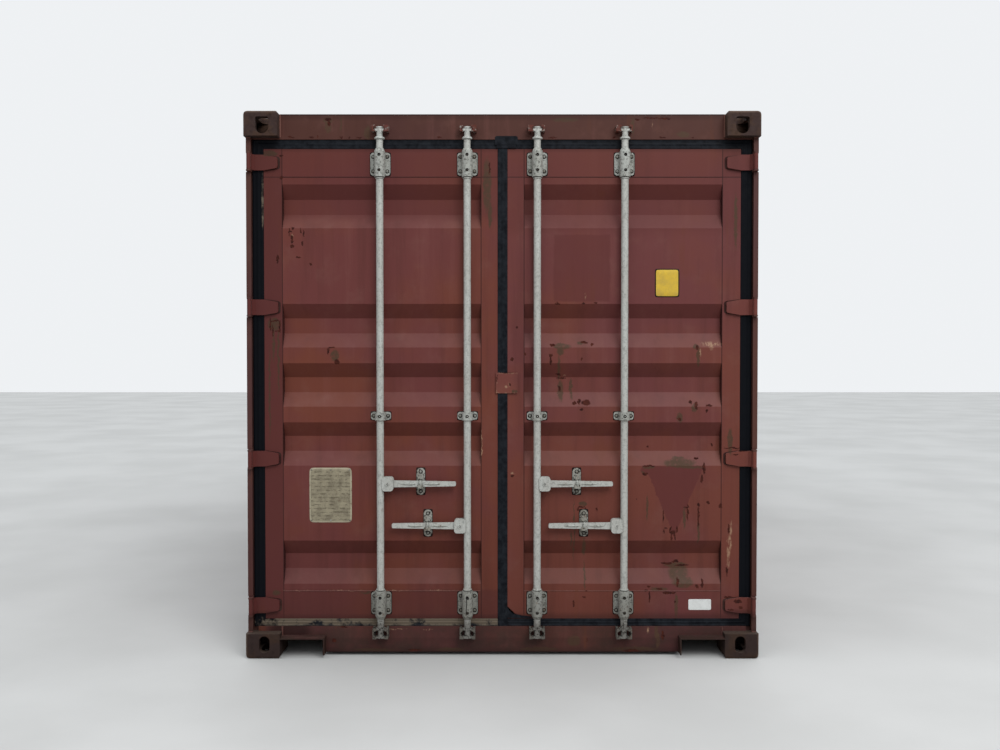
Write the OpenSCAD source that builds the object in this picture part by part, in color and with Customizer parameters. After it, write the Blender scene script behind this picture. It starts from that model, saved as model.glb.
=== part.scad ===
// Twenty-foot dry freight container. X runs across, Y along the length with
// the doors at the -Y end, Z up from the undersides of the corner castings.

/* [Overall] */
// Length over the corner castings
length = 6058; // [5400:1:7000]
// Width over the corner castings
width = 2438; // [2300:1:2600]
// Height over the corner castings
height = 2591; // [2438:1:2896]
// How far posts, walls and rails stay inside the casting sides
side_setback = 5; // [3:0.5:8]
// How far the top members stay below the casting tops
top_setback = 6; // [4:0.5:10]

/* [Corner castings] */
// Length of a casting along the container
casting_l = 178; // [170:1:190]
// Width of a casting across the container
casting_w = 162; // [155:1:170]
// Height of a casting
casting_h = 118; // [112:1:125]
// Wall thickness with an opening in it
casting_wall = 28; // [24:0.5:30]
// Wall thickness towards the container
casting_inner_wall = 12; // [8:0.5:20]
// Radius of the outer edges
casting_edge_r = 14; // [6:0.5:14]
// Radius of the outer edge that runs along the container
casting_corner_r = 26; // [14:0.5:26]
// Length of the slot in the top or bottom
slot_l = 124; // [110:0.5:130]
// Width of the slot in the top or bottom
slot_w = 63.5; // [55:0.5:66]
// Distance of the slot's centre from the end face
slot_from_end = 102.5; // [98:0.5:106]
// Distance of the slot's centre from the side face
slot_from_side = 89.5; // [86:0.5:92]
// Width of the round-ended holes in the sides of the bottom castings
low_hole_w = 51; // [40:0.5:60]
// Width of the flat-topped holes in the sides of the top castings
high_hole_w = 63.5; // [50:0.5:66]
// Corner radius of the flat top of those holes
high_hole_r = 10; // [4:0.5:14]
// Height of all holes in the sides
hole_h = 79.5; // [76:0.5:82]
// Distance of those holes from the casting's top or underside
hole_inset = 28.5; // [26:0.5:30]

/* [Door posts] */
// Plate thickness of the pressed outer post
post_t = 6; // [4:0.5:8]
// Depth from the door end to the post's front strip
post_front = 36; // [32:0.5:44]
// Width of the front strip
post_strip_w = 23; // [16:0.5:30]
// Depth from the door end to the inner channel
jamb_front = 70; // [68:0.5:80]
// Web height of the inner channel
jamb_w = 113; // [100:1:120]
// Flange length of the inner channel
jamb_flange = 38; // [30:0.5:45]
// Thickness of the inner channel
jamb_t = 12; // [8:0.5:14]

/* [Door header] */
// Depth from the door end to the header's face
header_front = 55; // [54:0.5:57]
// Height of the header's face
header_face_h = 119; // [110:1:130]
// Height of the lip behind the door's top gasket
header_lip_h = 16; // [10:0.5:20]
// Plate thickness of the header
header_t = 4; // [3:0.5:6]

/* [Door sill] */
// Depth from the door end to the sill's face
sill_front = 58; // [57:0.5:60]
// Height of the sill's underside above the ground
sill_z = 17; // [12:0.5:22]
// Height of the sill's face
sill_face_h = 124; // [115:1:130]
// Height of the step behind the door's bottom gasket
sill_step_h = 17; // [12:0.5:20]
// Rise of the sill's sloping top
sill_rise = 9; // [6:0.5:12]
// Depth of the sill behind its step
sill_depth = 110; // [90:1:120]
// Plate thickness of the sill
sill_t = 5; // [4:0.5:6]
// Height of the cut-outs beside the bottom castings, above the sill's underside
recess_h = 75; // [60:1:90]
// Width of those cut-outs
recess_w = 206; // [160:1:260]
// Plate thickness of their lining
guard_t = 6; // [4:0.5:8]

/* [Door leaves] */
// Depth from the door end to the leaves' face
leaf_front = 62; // [62:0.5:64]
// Thickness of a leaf's frame
leaf_d = 50; // [40:1:60]
// Gap between leaf and jamb, filled by the gasket
leaf_side_gap = 34; // [30:0.5:40]
// Gap between leaf and header face
leaf_top_gap = 44; // [40:0.5:50]
// Gap between leaf and sill face
leaf_bottom_gap = 36; // [30:0.5:42]
// Gap between the two leaves
leaf_mid_gap = 47; // [40:0.5:55]
// How far the middle gap lies right of the centre
mid_offset = 1.5; // [0:0.5:4]
// Width of the hinge stile
hinge_stile_w = 87; // [70:1:100]
// Width of the lock stile
lock_stile_w = 79; // [60:1:90]
// Height of the top and bottom rail
leaf_rail_h = 133; // [115:1:140]
// Wall thickness of stiles and rails
leaf_tube_t = 4; // [2.5:0.5:5]
// Thickness of the corrugated panel
panel_t = 2; // [1.6:0.2:3]
// Depth of the panel's corrugations
panel_depth = 36; // [24:1:42]
// Height of a corrugation's bottom
panel_recess_h = 72; // [60:1:80]
// Height of a corrugation's slope
panel_slope_h = 68; // [50:1:72]
// Height of the flats beside the middle corrugation
panel_flat_h = 75; // [60:1:90]
// Height of the flats between the outer corrugations and the rails
panel_end_h = 34.5; // [20:0.5:50]

/* [Gaskets] */
// Depth from the door end to the gasket's lip
fin_front = 60; // [59.5:0.5:61]
// Thickness of the gasket's lip
fin_t = 4; // [3:0.5:5]
// Width by which the lip covers the jamb beside the leaf
fin_over_jamb = 19; // [12:0.5:20]
// Running gap between gasket and door frame
seal_gap = 0.3; // [0.2:0.1:0.5]

/* [Hinges] */
// Number of hinges on a leaf
hinge_count = 4; // [2:1:5]
// Height of the lowest and highest hinge from the leaf's end
hinge_inset = 66; // [60:1:120]
// How far the second hinge from the top stands above its even spacing
upper_hinge_rise = 18; // [-30:1:40]
// Height of a hinge blade at its knuckle
blade_h = 74; // [60:1:90]
// Height of a hinge blade at its end
blade_tip_h = 54; // [44:1:76]
// Outer radius of the knuckle
knuckle_r = 10; // [8.5:0.5:11]
// Radius of the hinge pin
pin_r = 6; // [4:0.5:6.5]
// Radial clearance of the pin in its knuckle
pin_play = 0.1; // [0.05:0.05:0.3]
// Depth from the door end to the pin's axis
pin_depth = 14; // [13:0.5:15]
// Distance of the pin's axis from the casting side
pin_inset = 23; // [21:0.5:25]
// Thickness of a hinge lug
lug_t = 8; // [6:0.5:12]
// Gap between lug and knuckle
lug_gap = 0.5; // [0.3:0.1:1]
// Depth of the post's notch round a hinge
notch_d = 14; // [7:0.5:20]
// Gap between the notch and the lugs
notch_gap = 2; // [0.5:0.5:5]
// Reach of the blade onto the leaf
blade_reach = 66; // [50:1:75]
// Thickness of the blade
blade_t = 14; // [12:0.5:15]
// Thickness of the blade's swan neck
blade_neck_t = 12; // [9:0.5:13]
// Distance of the blade's welded part from the leaf's edge
blade_inset = 2; // [1:0.5:5]
// Radius of the blade's corners on the leaf
blade_corner_r = 10; // [6:0.5:20]

/* [Lock rods] */
// Radius of a lock rod
rod_r = 17; // [14:0.5:18]
// Depth from the door end to the rods' axes
rod_depth = 29; // [28.5:0.5:30]
// Distance of the inner rods from the centre
rod_inner_x = 166; // [150:1:180]
// Distance of the outer rods from the centre
rod_outer_x = 580; // [540:1:600]
// Radius of the necks between bracket and cam
neck_r = 16; // [12:0.5:16.5]
// Height of a ring on the necks
ring_h = 5; // [3:0.5:8]
// Radial clearance of a rod in its brackets
rod_play = 0.4; // [0.3:0.1:0.8]

/* [Cams] */
// Height of a bottom cam
low_cam_h = 50; // [46:1:60]
// Height of a top cam
top_cam_h = 57; // [54:1:60]
// Radius of the cams' flanges
cam_r = 24; // [20:0.5:24]
// Thickness of a cam's flanges
cam_flange_h = 10; // [8:0.5:12]
// Thickness of the flanges across their flats
cam_flat = 24; // [22:0.5:24]
// Radius of the cams' columns
waist_r = 14.5; // [12:0.5:16]
// Radius of the flared head on a top cam
cam_head_r = 17; // [15:0.5:18]
// Height of the collar at a top cam's foot
collar_h = 13; // [8:0.5:16]
// Distance from the ground to the underside of the bottom cams
cam_low_z = 92; // [88:1:94]
// Distance from the header's top to the top of the top cams
cam_top_drop = 66; // [60:1:75]

/* [Keepers] */
// Width of a bottom keeper over both of its hooks
low_keeper_w = 74; // [66:1:80]
// Reach of a top keeper's hook towards the middle of the container
top_keeper_near = 44; // [40:1:50]
// Reach of a top keeper's other hook
top_keeper_far = 34; // [32:1:40]
// Height of a top keeper
top_keeper_h = 30; // [24:1:36]
// How far a top keeper rises above its cam
top_keeper_rise = 6; // [0:1:10]
// Width of the slot between a keeper's hooks
keeper_slot = 38; // [37.5:0.5:42]
// Gap between a keeper's web and the cam's flanges
keeper_gap = 3; // [1:0.5:5]
// Depth from the door end to a keeper's hooks
keeper_front = 8; // [4:0.5:8]
// Plate thickness of a keeper's hooks
keeper_t = 6; // [5:0.5:6.5]
// Share of a keeper's height that its round notch takes
notch_share = 0.56; // [0.4:0.02:0.7]

/* [Rod brackets] */
// Width of the brackets' plates
bracket_w = 95; // [80:1:100]
// Height of the end brackets' plates
bracket_h = 108; // [80:1:115]
// Corner radius of the bracket plates
bracket_corner_r = 15; // [8:1:18]
// Height of the end brackets' barrels
barrel_h = 134; // [120:1:140]
// Height of a barrel's tapered end
barrel_taper_h = 14; // [8:1:20]
// Wall thickness of the barrels
barrel_t = 8; // [4:0.5:8]
// Wall thickness at a barrel's tapered end
barrel_tip_t = 2; // [1:0.5:4]
// Radius of the holes in the front of a barrel
grease_r = 4.5; // [2:0.5:6]
// Distance of those holes from the barrel's middle
grease_z = 38; // [25:1:45]
// Thickness of the bracket plates
bracket_t = 6; // [5:0.5:8]
// Height of the middle brackets
mid_bracket_h = 38; // [30:1:60]
// How far the bottom brackets sit above the middle of the bottom rail
low_bracket_rise = 10; // [0:1:15]
// How far the top brackets sit below the middle of the top rail
top_bracket_drop = 6; // [0:1:15]
// How far the middle brackets sit below the middle of their flat
mid_bracket_drop = 6; // [0:1:15]

/* [Handles] */
// Height of the left rods' handles above the middle of the lower wide flat
handle_rise = 97.5; // [80:0.5:120]
// Depth of the right rods' handles below the middle of that flat
handle_fall = 102.5; // [80:0.5:120]
// Length of a handle from its pin to its end
handle_l = 324; // [280:1:330]
// Height of the handle's bar at the hub
handle_h = 33; // [28:0.5:36]
// Height of the handle's bar at its end
handle_tip_h = 22; // [18:0.5:32]
// Bevel of the corners at the handle's end
handle_bevel = 4; // [1:0.5:8]
// Thickness of the handle's bar
handle_t = 14; // [10:0.5:16]
// Width of the hub that carries the handle
hub_w = 54; // [46:1:60]
// Height of the hub
hub_h = 67; // [60:1:76]
// Thickness of the hub
hub_d = 40; // [36:0.5:42]
// Corner radius of the hub
hub_corner_r = 14; // [6:0.5:20]
// Radius of the handle's pin
handle_pin_r = 6; // [5:0.5:8]
// Radius of the pin's heads
pin_head_r = 10; // [9:0.5:14]
// Height of the pin's heads
pin_head_h = 3; // [1:0.5:4]
// Gap beside the handle's bar in the hub
hub_gap = 1; // [0.5:0.1:1.5]

/* [Handle retainers] */
// Distance of a retainer from its rod
retainer_x = 190; // [150:1:230]
// Width of the retainer's plate
retainer_w = 40; // [34:1:46]
// Height of the retainer's plate
retainer_h = 128; // [110:1:140]
// Thickness of the retainer's seat and lip
retainer_t = 7; // [5:0.5:8]
// Height of the plate's centre above the handle
retainer_rise = 8; // [0:1:12]
// Width of the retainer's seat, lip and stop
retainer_lip_w = 28; // [22:1:34]
// Clearance above the handle at the stop, and behind it
stop_gap = 4; // [2:0.5:6]
// Gap between handle and seat
seat_gap = 0.3; // [0.2:0.1:0.5]

/* [Centre plate] */
// Height of the plate's centre above the middle of the leaf
centre_plate_rise = 9.5; // [-20:0.5:30]
// Width of the plate
centre_plate_w = 103; // [90:1:110]
// Distance of the plate's step from the right leaf's edge
centre_step = 1; // [0.5:0.5:3]
// How far the plate reaches past the right edge of the lock stile's bevel
centre_plate_reach = 5; // [0:1:10]
// Height of the plate
centre_plate_h = 98; // [80:1:110]
// Thickness of the plate
centre_plate_t = 6; // [4:0.5:8]

/* [Side walls] */
// Sheet thickness of the walls
wall_t = 2; // [1.6:0.2:3]
// Depth of the side walls' corrugations
wall_depth = 36; // [30:1:40]
// Length of an outer face
wall_outer = 72; // [60:1:80]
// Length of an inner face
wall_inner = 70; // [60:1:80]
// Length of a slope
wall_slope = 68; // [50:1:72]

/* [Closed end] */
// Depth of the end wall's corrugations
end_depth = 45.6; // [36:0.1:48]
// Width of an outer face
end_outer = 110; // [90:1:120]
// Width of an inner face
end_inner = 104; // [90:1:120]
// Width of a slope
end_slope = 18; // [14:1:30]
// Depth from the closed end to the posts, rails and wall
end_front = 8; // [6:0.5:10]
// Width of the end posts' front
end_post_w = 94; // [80:1:110]
// Length of the end posts' return lip
end_post_lip = 46; // [30:1:60]
// Height and depth of the end top rail
end_rail_d = 60; // [50:1:70]
// Depth of the end bottom rail
end_sill_d = 62; // [50:1:80]

/* [Rails] */
// Width and height of the top side rails
top_rail_w = 60; // [50:1:70]
// Wall thickness of the top side rails
top_rail_t = 3; // [2.5:0.5:5]
// Height of the bottom side rails
low_rail_h = 162; // [155:1:165]
// Upper flange of the bottom side rails
low_rail_top = 48; // [45:0.5:55]
// Lower flange of the bottom side rails
low_rail_foot = 30; // [25:0.5:40]
// Thickness of the bottom side rails
low_rail_t = 4.5; // [3:0.5:6]
// Height of the rails' underside above the ground
low_rail_z = 14; // [12:0.5:20]

/* [Roof] */
// Sheet thickness of the roof
roof_t = 2; // [1.6:0.2:3]
// Depth of the roof's corrugations
roof_depth = 20; // [14:0.5:24]
// Length of a raised or sunk face
roof_flat = 91; // [80:0.5:100]
// Length of a slope
roof_slope = 13.5; // [10:0.5:20]
// Length of the corner plates
corner_plate_l = 300; // [250:1:450]
// Thickness of the corner plates
corner_plate_t = 3; // [2:0.5:4]

/* [Floor] */
// Height of the floor's top above the ground
floor_z = 171; // [168:1:173]
// Thickness of the boards
board_t = 28; // [25:0.5:28]
// Gap between the boards and the side rails' upper flanges
board_gap = 1; // [0.5:0.5:3]
// Spacing of the cross members
cross_pitch = 300; // [280:1:350]
// Height of the cross members
cross_h = 122; // [100:1:122]
// Upper flange of the cross members
cross_top = 45; // [40:1:60]
// Lower flange of the cross members
cross_foot = 40; // [30:1:50]
// Thickness of the cross members
cross_t = 4; // [3:0.5:5]

/* [Fork pockets] */
// Distance between the pockets' centres
pocket_pitch = 2060; // [2050:1:2080]
// Clear width of a pocket
pocket_w = 360; // [355:1:370]
// Clear height of a pocket
pocket_h = 115; // [110:1:115]
// Plate thickness of a pocket
pocket_t = 4; // [3:0.5:6]
// Length of the straps under a pocket's ends
pocket_strap = 200; // [150:1:250]

/* [Ventilators] */
// Height of a ventilator
vent_h = 180; // [120:1:220]
// Depth of a ventilator
vent_d = 18; // [12:1:24]
// Gap between a ventilator and the slopes beside it
vent_gap = 2; // [1:0.5:5]
// Distance of a ventilator from the top side rail
vent_drop = 60; // [40:1:100]

/* [Hidden] */
$fn = 48;

paint = "#683c37";
dark_paint = "#553430";
iron = "#3c302a";
rubber = "#1c2226";
zinc = "#a5aaa5";
timber = "#8a6a44";

side_x = width / 2 - side_setback;
casting_x = width / 2 - casting_w;
top_z = height - top_setback;
jamb_x = side_x - post_t - jamb_flange;
post_back = jamb_front + jamb_w;
header_z = top_z - header_face_h;
opening_top = header_z - header_lip_h;
sill_face_z = sill_z + sill_face_h;
sill_top_z = sill_face_z + sill_step_h;
leaf_back = leaf_front + leaf_d;
leaf_low = sill_face_z + leaf_bottom_gap;
leaf_top = header_z - leaf_top_gap;
leaf_edge = jamb_x - leaf_side_gap;
leaf_mid_z = (leaf_low + leaf_top) / 2;
panel_recess = panel_recess_h + 2 * panel_slope_h;
near_recess = panel_recess + panel_flat_h;
far_recess = (leaf_top - leaf_low - panel_recess) / 2 - leaf_rail_h - panel_end_h;
wide_flat_z = leaf_mid_z - (near_recess + far_recess) / 2;
fin_edge = jamb_x + fin_over_jamb;
pin_x = width / 2 - pin_inset;
hinge_pitch = (leaf_top - leaf_low - 2 * hinge_inset) / (hinge_count - 1);
knuckle_half = blade_h / 2 + lug_gap;
cam_top_z = top_z - cam_top_drop;
low_bracket_z = leaf_low + leaf_rail_h / 2 + low_bracket_rise;
top_bracket_z = leaf_top - leaf_rail_h / 2 - top_bracket_drop;
mid_bracket_z = leaf_mid_z - near_recess / 2 - mid_bracket_drop;
bore_r = rod_r + rod_play;
handle_high_z = wide_flat_z + handle_rise;
handle_low_z = wide_flat_z - handle_fall;
hub_x = rod_r / 2;
handle_pin_x = hub_x + hub_w / 2;
rail_top_z = top_z - roof_t;
wall_low = low_rail_z + low_rail_h;
wall_top = rail_top_z - top_rail_w;
wall_pitch = wall_outer + wall_inner + 2 * wall_slope;

// Half of the middle gap on one side: 1 is the right leaf, -1 the left
function mid_edge(side) = leaf_mid_gap / 2 + side * mid_offset;

module door_end() { translate([0, -length / 2, 0]) children(); }

module closed_end() { mirror([0, 1, 0]) door_end() children(); }

module both_sides() {
  children();
  mirror([1, 0, 0]) children();
}

module on_side(side) { mirror([side < 0 ? 1 : 0, 0, 0]) children(); }

// Sweeps a profile drawn in depth and height along X, centred on x = 0
module across(w) { rotate([90, 0, 90]) translate([0, 0, -w / 2]) linear_extrude(w) children(); }

// Sweeps a profile drawn in width and height along Y, centred on y = 0
module along(l) { rotate([90, 0, 0]) translate([0, 0, -l / 2]) linear_extrude(l) children(); }

// A block given by its lowest and highest corner
module block(a, b) { translate(a) cube(b - a); }

// Round-ended outline, centred, longer along y
module stadium(w, l) {
  square([w, l - w], center = true);
  for (s = [-1, 1]) translate([0, s * (l - w) / 2]) circle(d = w);
}

// Outline with its low corner at the origin rounded by r, and the one beside it by foot
module outer_corner(w, l, r = casting_edge_r, foot = 0) {
  translate([r, 0]) square([w - foot - r, l]);
  translate([0, r]) square([r + 1, l - r]);
  translate([r, r]) circle(r);
  if (foot > 0) {
    translate([w - foot - 1, foot]) square([foot + 1, l - foot]);
    translate([w - foot, foot]) circle(foot);
  }
}

// Centred rectangle with round corners
module rounded(w, h, r) {
  square([w - 2 * r, h], center = true);
  square([w, h - 2 * r], center = true);
  for (x = [-1, 1], y = [-1, 1]) translate([x * (w / 2 - r), y * (h / 2 - r)]) circle(r);
}

// Hole outline of a casting's side, its foot on y = 0: round-ended low down, flat-topped high up
module side_hole(top) {
  w = top ? high_hole_w : low_hole_w;
  end_r = top ? high_hole_r : w / 2;
  translate([0, w / 2]) circle(d = w);
  translate([-w / 2, w / 2]) square([w, hole_h - end_r - w / 2]);
  if (top) translate([high_hole_r - w / 2, w / 2]) square([w - 2 * high_hole_r, hole_h - w / 2]);
  for (s = top ? [-1, 1] : [0]) translate([s * (w / 2 - end_r), hole_h - end_r]) circle(end_r);
}

// A casting with its outer corner at the origin, running inwards along +x, +y and +z
module casting(top) {
  foot = casting_h - hole_inset - hole_h;
  difference() {
    intersection() {
      linear_extrude(casting_h) outer_corner(casting_w, casting_l);
      rotate([90, 0, 0]) mirror([0, 0, 1]) linear_extrude(casting_l)
        outer_corner(casting_w, casting_h, r = casting_corner_r, foot = casting_edge_r);
      rotate([90, 0, 90]) linear_extrude(casting_w) outer_corner(casting_l, casting_h);
    }
    block([casting_wall, casting_wall, casting_wall],
      [casting_w - casting_inner_wall, casting_l - casting_inner_wall, casting_h - casting_inner_wall]);
    translate([slot_from_side, slot_from_end, -1]) linear_extrude(casting_wall + 2) stadium(slot_w, slot_l);
    // the low corner of the outline is the casting's outer face, so a top casting is drawn upside down
    translate([slot_from_side, casting_wall + 1, 0]) rotate([90, 0, 0]) linear_extrude(casting_wall + 2)
      place_hole(top, foot) side_hole(top);
    translate([-1, slot_from_end, 0]) rotate([90, 0, 90]) linear_extrude(casting_wall + 2)
      place_hole(top, foot) side_hole(top);
  }
}

module place_hole(top, foot) {
  if (top) translate([0, hole_inset + hole_h]) mirror([0, 1]) children();
  else translate([0, hole_inset]) children();
}

module castings_low() {
  both_sides() door_end() translate([width / 2, 0, 0]) mirror([1, 0, 0]) casting(false);
}

module castings_high() {
  both_sides() door_end() translate([width / 2, 0, height]) mirror([1, 0, 0]) mirror([0, 0, 1]) casting(true);
}

module castings_door_bottom() { color(iron) castings_low(); }

module castings_door_top() { color(iron) castings_high(); }

module castings_end_bottom() { color(iron) mirror([0, 1, 0]) castings_low(); }

module castings_end_top() { color(iron) mirror([0, 1, 0]) castings_high(); }

// Pressed outer post, notched round the hinges, with the channel inside it that is the door's jamb
module door_post() {
  inside = side_x - post_t;
  strip_x = side_x - post_strip_w;
  notch = knuckle_half + lug_t + notch_gap;
  door_end() difference() {
    translate([0, 0, casting_h]) linear_extrude(height - 2 * casting_h) difference() {
      polygon([
        [strip_x, post_front], [side_x, post_front], [side_x, post_back], [jamb_x, post_back],
        [jamb_x, jamb_front], [inside, jamb_front], [inside, post_front + post_t],
        [strip_x, post_front + post_t]
      ]);
      translate([jamb_x + jamb_t, jamb_front + jamb_t]) square([jamb_flange - jamb_t, jamb_w - 2 * jamb_t]);
    }
    at_hinges() block([strip_x - 1, post_front - 1, -notch], [side_x + 1, post_front + notch_d, notch]);
  }
}

module door_post_left() { color(paint) mirror([1, 0, 0]) door_post(); }

module door_post_right() { color(paint) door_post(); }

// Pressed angle with a return lip towards the end wall
module end_posts() {
  front = end_front + post_t;
  inner = side_x - end_post_w;
  color(paint) both_sides() closed_end() translate([0, 0, casting_h]) linear_extrude(height - 2 * casting_h)
    polygon([
      [inner, end_front], [side_x, end_front], [side_x, post_back], [side_x - post_t, post_back],
      [side_x - post_t, front], [inner + post_t, front],
      [inner + post_t, end_front + end_post_lip], [inner, end_front + end_post_lip]
    ]);
}

// Box header between the castings, with a lip that runs on under them to the jambs
module door_header() {
  t = header_t;
  back = casting_l;
  color(dark_paint) door_end() {
    across(2 * casting_x) difference() {
      polygon([
        [header_front, header_z], [header_front, top_z], [back, top_z], [back, opening_top],
        [jamb_front, opening_top], [jamb_front, header_z]
      ]);
      polygon([
        [header_front + t, header_z + t], [header_front + t, top_z - t], [back - t, top_z - t],
        [back - t, opening_top + t], [jamb_front + t, opening_top + t], [jamb_front + t, header_z + t]
      ]);
    }
    for (s = [-1, 1]) on_side(s) {
      block([casting_x, jamb_front, opening_top], [jamb_x, back, height - casting_h]);
      block([casting_x, header_front, header_z], [side_x - post_t, jamb_front, height - casting_h]);
    }
  }
}

// Stepped and sloping sill, open behind, with a cut-out beside each casting
module door_sill() {
  t = sill_t;
  lip = jamb_front;
  back = lip + sill_depth;
  color(paint) door_end() difference() {
    across(2 * jamb_x) polygon([
      [sill_front, sill_z], [sill_front, sill_face_z], [lip, sill_face_z], [lip, sill_top_z],
      [back, sill_top_z + sill_rise], [back, sill_top_z + sill_rise - t],
      [lip + t, sill_top_z - t], [lip + t, sill_face_z - t],
      [sill_front + t, sill_face_z - t], [sill_front + t, sill_z + t],
      [back, sill_z + t], [back, sill_z]
    ]);
    both_sides() {
      block([casting_x, 0, 0], [jamb_x + 1, back + 1, casting_h]);
      block([casting_x - recess_w - guard_t, 0, 0], [casting_x + 1, back + 1, sill_z + recess_h + guard_t]);
    }
  }
}

// Plates that line the sill's cut-outs and come forward to the castings' face
module sill_guards() {
  inner = casting_x - recess_w;
  roof_z = sill_z + recess_h;
  back = jamb_front + sill_depth;
  color(paint) both_sides() door_end() {
    block([inner - guard_t, 0, sill_z], [inner, back, roof_z + guard_t]);
    block([inner, 0, roof_z], [casting_x, casting_l, roof_z + guard_t]);
  }
}

// Square tube with the plate behind it that carries the roof's end
module end_top_rail() {
  t = header_t;
  low = rail_top_z - end_rail_d;
  color(paint) closed_end() {
    across(2 * casting_x) difference() {
      polygon([
        [end_front, low], [end_front, top_z], [casting_l, top_z], [casting_l, rail_top_z],
        [end_front + end_rail_d, rail_top_z], [end_front + end_rail_d, low]
      ]);
      translate([end_front + t, low + t]) square(end_rail_d - 2 * t);
    }
  }
}

// Channel sill of the closed end, with the same cut-outs as the door end
module end_bottom_rail() {
  t = header_t;
  far = end_front + end_sill_d;
  inner = side_x - end_post_w;
  color(paint) closed_end() difference() {
    across(2 * inner) polygon([
      [end_front, sill_z], [end_front, wall_low], [far, wall_low], [far, wall_low - t],
      [end_front + t, wall_low - t], [end_front + t, sill_z + t], [far, sill_z + t], [far, sill_z]
    ]);
    both_sides() {
      block([casting_x, 0, 0], [inner + 1, casting_l, casting_h]);
      block([casting_x - recess_w, 0, 0], [casting_x + 1, far + 1, sill_z + recess_h]);
    }
  }
}

module top_side_rails() {
  inner = side_x - top_rail_w;
  t = top_rail_t;
  color(paint) both_sides() along(length - 2 * casting_l) difference() {
    translate([inner, wall_top]) square(top_rail_w);
    translate([inner + t, wall_top + t]) square(top_rail_w - 2 * t);
  }
}

// Channels along the floor, pierced by the fork pockets and cut back round the posts' feet
module bottom_side_rails() {
  t = low_rail_t;
  z = low_rail_z;
  color(paint) both_sides() difference() {
    along(length - 2 * casting_l) polygon([
      [side_x, z], [side_x, wall_low], [side_x - low_rail_top, wall_low],
      [side_x - low_rail_top, wall_low - t], [side_x - t, wall_low - t], [side_x - t, z + t],
      [side_x - low_rail_foot, z + t], [side_x - low_rail_foot, z]
    ]);
    for (s = [-1, 1]) translate([0, s * pocket_pitch / 2, pocket_low()])
      block([side_x - t - 1, -pocket_w / 2, 0], [side_x + 1, pocket_w / 2, pocket_h]);
    for (e = [0, 1]) mirror([0, e, 0]) door_end()
      block([side_x - low_rail_top - 1, casting_l - 1, casting_h], [side_x + 1, post_back, wall_low + 1]);
  }
}

function pocket_low() = floor_z - board_t - pocket_t - pocket_h;

// One wave of a folded sheet's outer line: [along, depth] pairs from the given start
function wave(start, outer, inner, slope, depth) = [
  [start + outer / 2, 0], [start + outer / 2 + slope, depth],
  [start + outer / 2 + slope + inner, depth], [start + outer / 2 + 2 * slope + inner, 0]
];

// Folded sheet of n waves centred on zero, reaching to half_l at both ends, t thick
module folded_sheet(n, half_l, outer, inner, slope, depth, t) {
  pitch = outer + inner + 2 * slope;
  line = [[-half_l, 0], each [for (i = [0:n - 1]) each wave((i - n / 2) * pitch, outer, inner, slope, depth)],
    [half_l, 0]];
  back = [for (i = [len(line) - 1:-1:0]) line[i] + [0, t]];
  polygon(concat(line, back));
}

module side_wall() {
  half_l = length / 2 - post_back;
  n = floor((2 * half_l - wall_outer) / wall_pitch);
  color(paint) translate([0, 0, wall_low]) linear_extrude(wall_top - wall_low)
    translate([side_x - post_t / 2, 0]) rotate(90)
    folded_sheet(n, half_l, wall_outer, wall_inner, wall_slope, wall_depth, wall_t);
}

module side_wall_left() { mirror([1, 0, 0]) side_wall(); }

module side_wall_right() { side_wall(); }

// Upright corrugations between the end posts, notched round the top castings
module end_wall() {
  half_w = side_x - end_post_w;
  pitch = end_outer + end_inner + 2 * end_slope;
  n = floor((2 * half_w - end_outer) / pitch);
  color(paint) closed_end() difference() {
    translate([0, end_front + post_t, wall_low]) linear_extrude(wall_top - wall_low)
      folded_sheet(n, half_w, end_outer, end_inner, end_slope, end_depth, wall_t);
    both_sides() block([casting_x, 0, height - casting_h], [half_w + 1, casting_l, height]);
  }
}

// Sheet with sunk corrugations across it, its side strips lying on the top rails
module roof_panel() {
  half_l = length / 2 - casting_l;
  pitch = 2 * (roof_flat + roof_slope);
  n = floor((2 * half_l - roof_flat) / pitch);
  inner = side_x - top_rail_w;
  color(paint) {
    across(2 * inner) translate([0, top_z]) mirror([0, 1])
      folded_sheet(n, half_l, roof_flat, roof_flat, roof_slope, roof_depth, roof_t);
    for (s = [-1, 1]) on_side(s) block([inner - 1, -half_l, rail_top_z], [side_x, half_l, top_z]);
  }
}

// Flat plates over the roof's corners behind the castings
module roof_corner_plates() {
  color(paint) for (e = [0, 1]) mirror([0, e, 0]) both_sides() door_end()
    block([casting_x, casting_l, top_z], [side_x, casting_l + corner_plate_l, top_z + corner_plate_t]);
}

module floor_boards() {
  edge = side_x - low_rail_top - board_gap;
  far = end_front + end_sill_d;
  color(timber) block([-edge, -length / 2 + jamb_front + sill_depth, floor_z - board_t],
    [edge, length / 2 - far, floor_z]);
}

// Channels under the boards, left out where the fork pockets run
module cross_members() {
  top = floor_z - board_t;
  n = floor((length / 2 - post_back - cross_top) / cross_pitch);
  color(paint) for (i = [-n:n])
    if (abs(abs(i * cross_pitch) - pocket_pitch / 2) > pocket_w / 2 + cross_top)
      translate([0, i * cross_pitch, 0]) across(2 * (side_x - low_rail_t)) polygon([
        [0, top - cross_h], [0, top], [cross_top, top], [cross_top, top - cross_t], [cross_t, top - cross_t],
        [cross_t, top - cross_h + cross_t], [cross_foot, top - cross_h + cross_t], [cross_foot, top - cross_h]
      ]);
}

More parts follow.
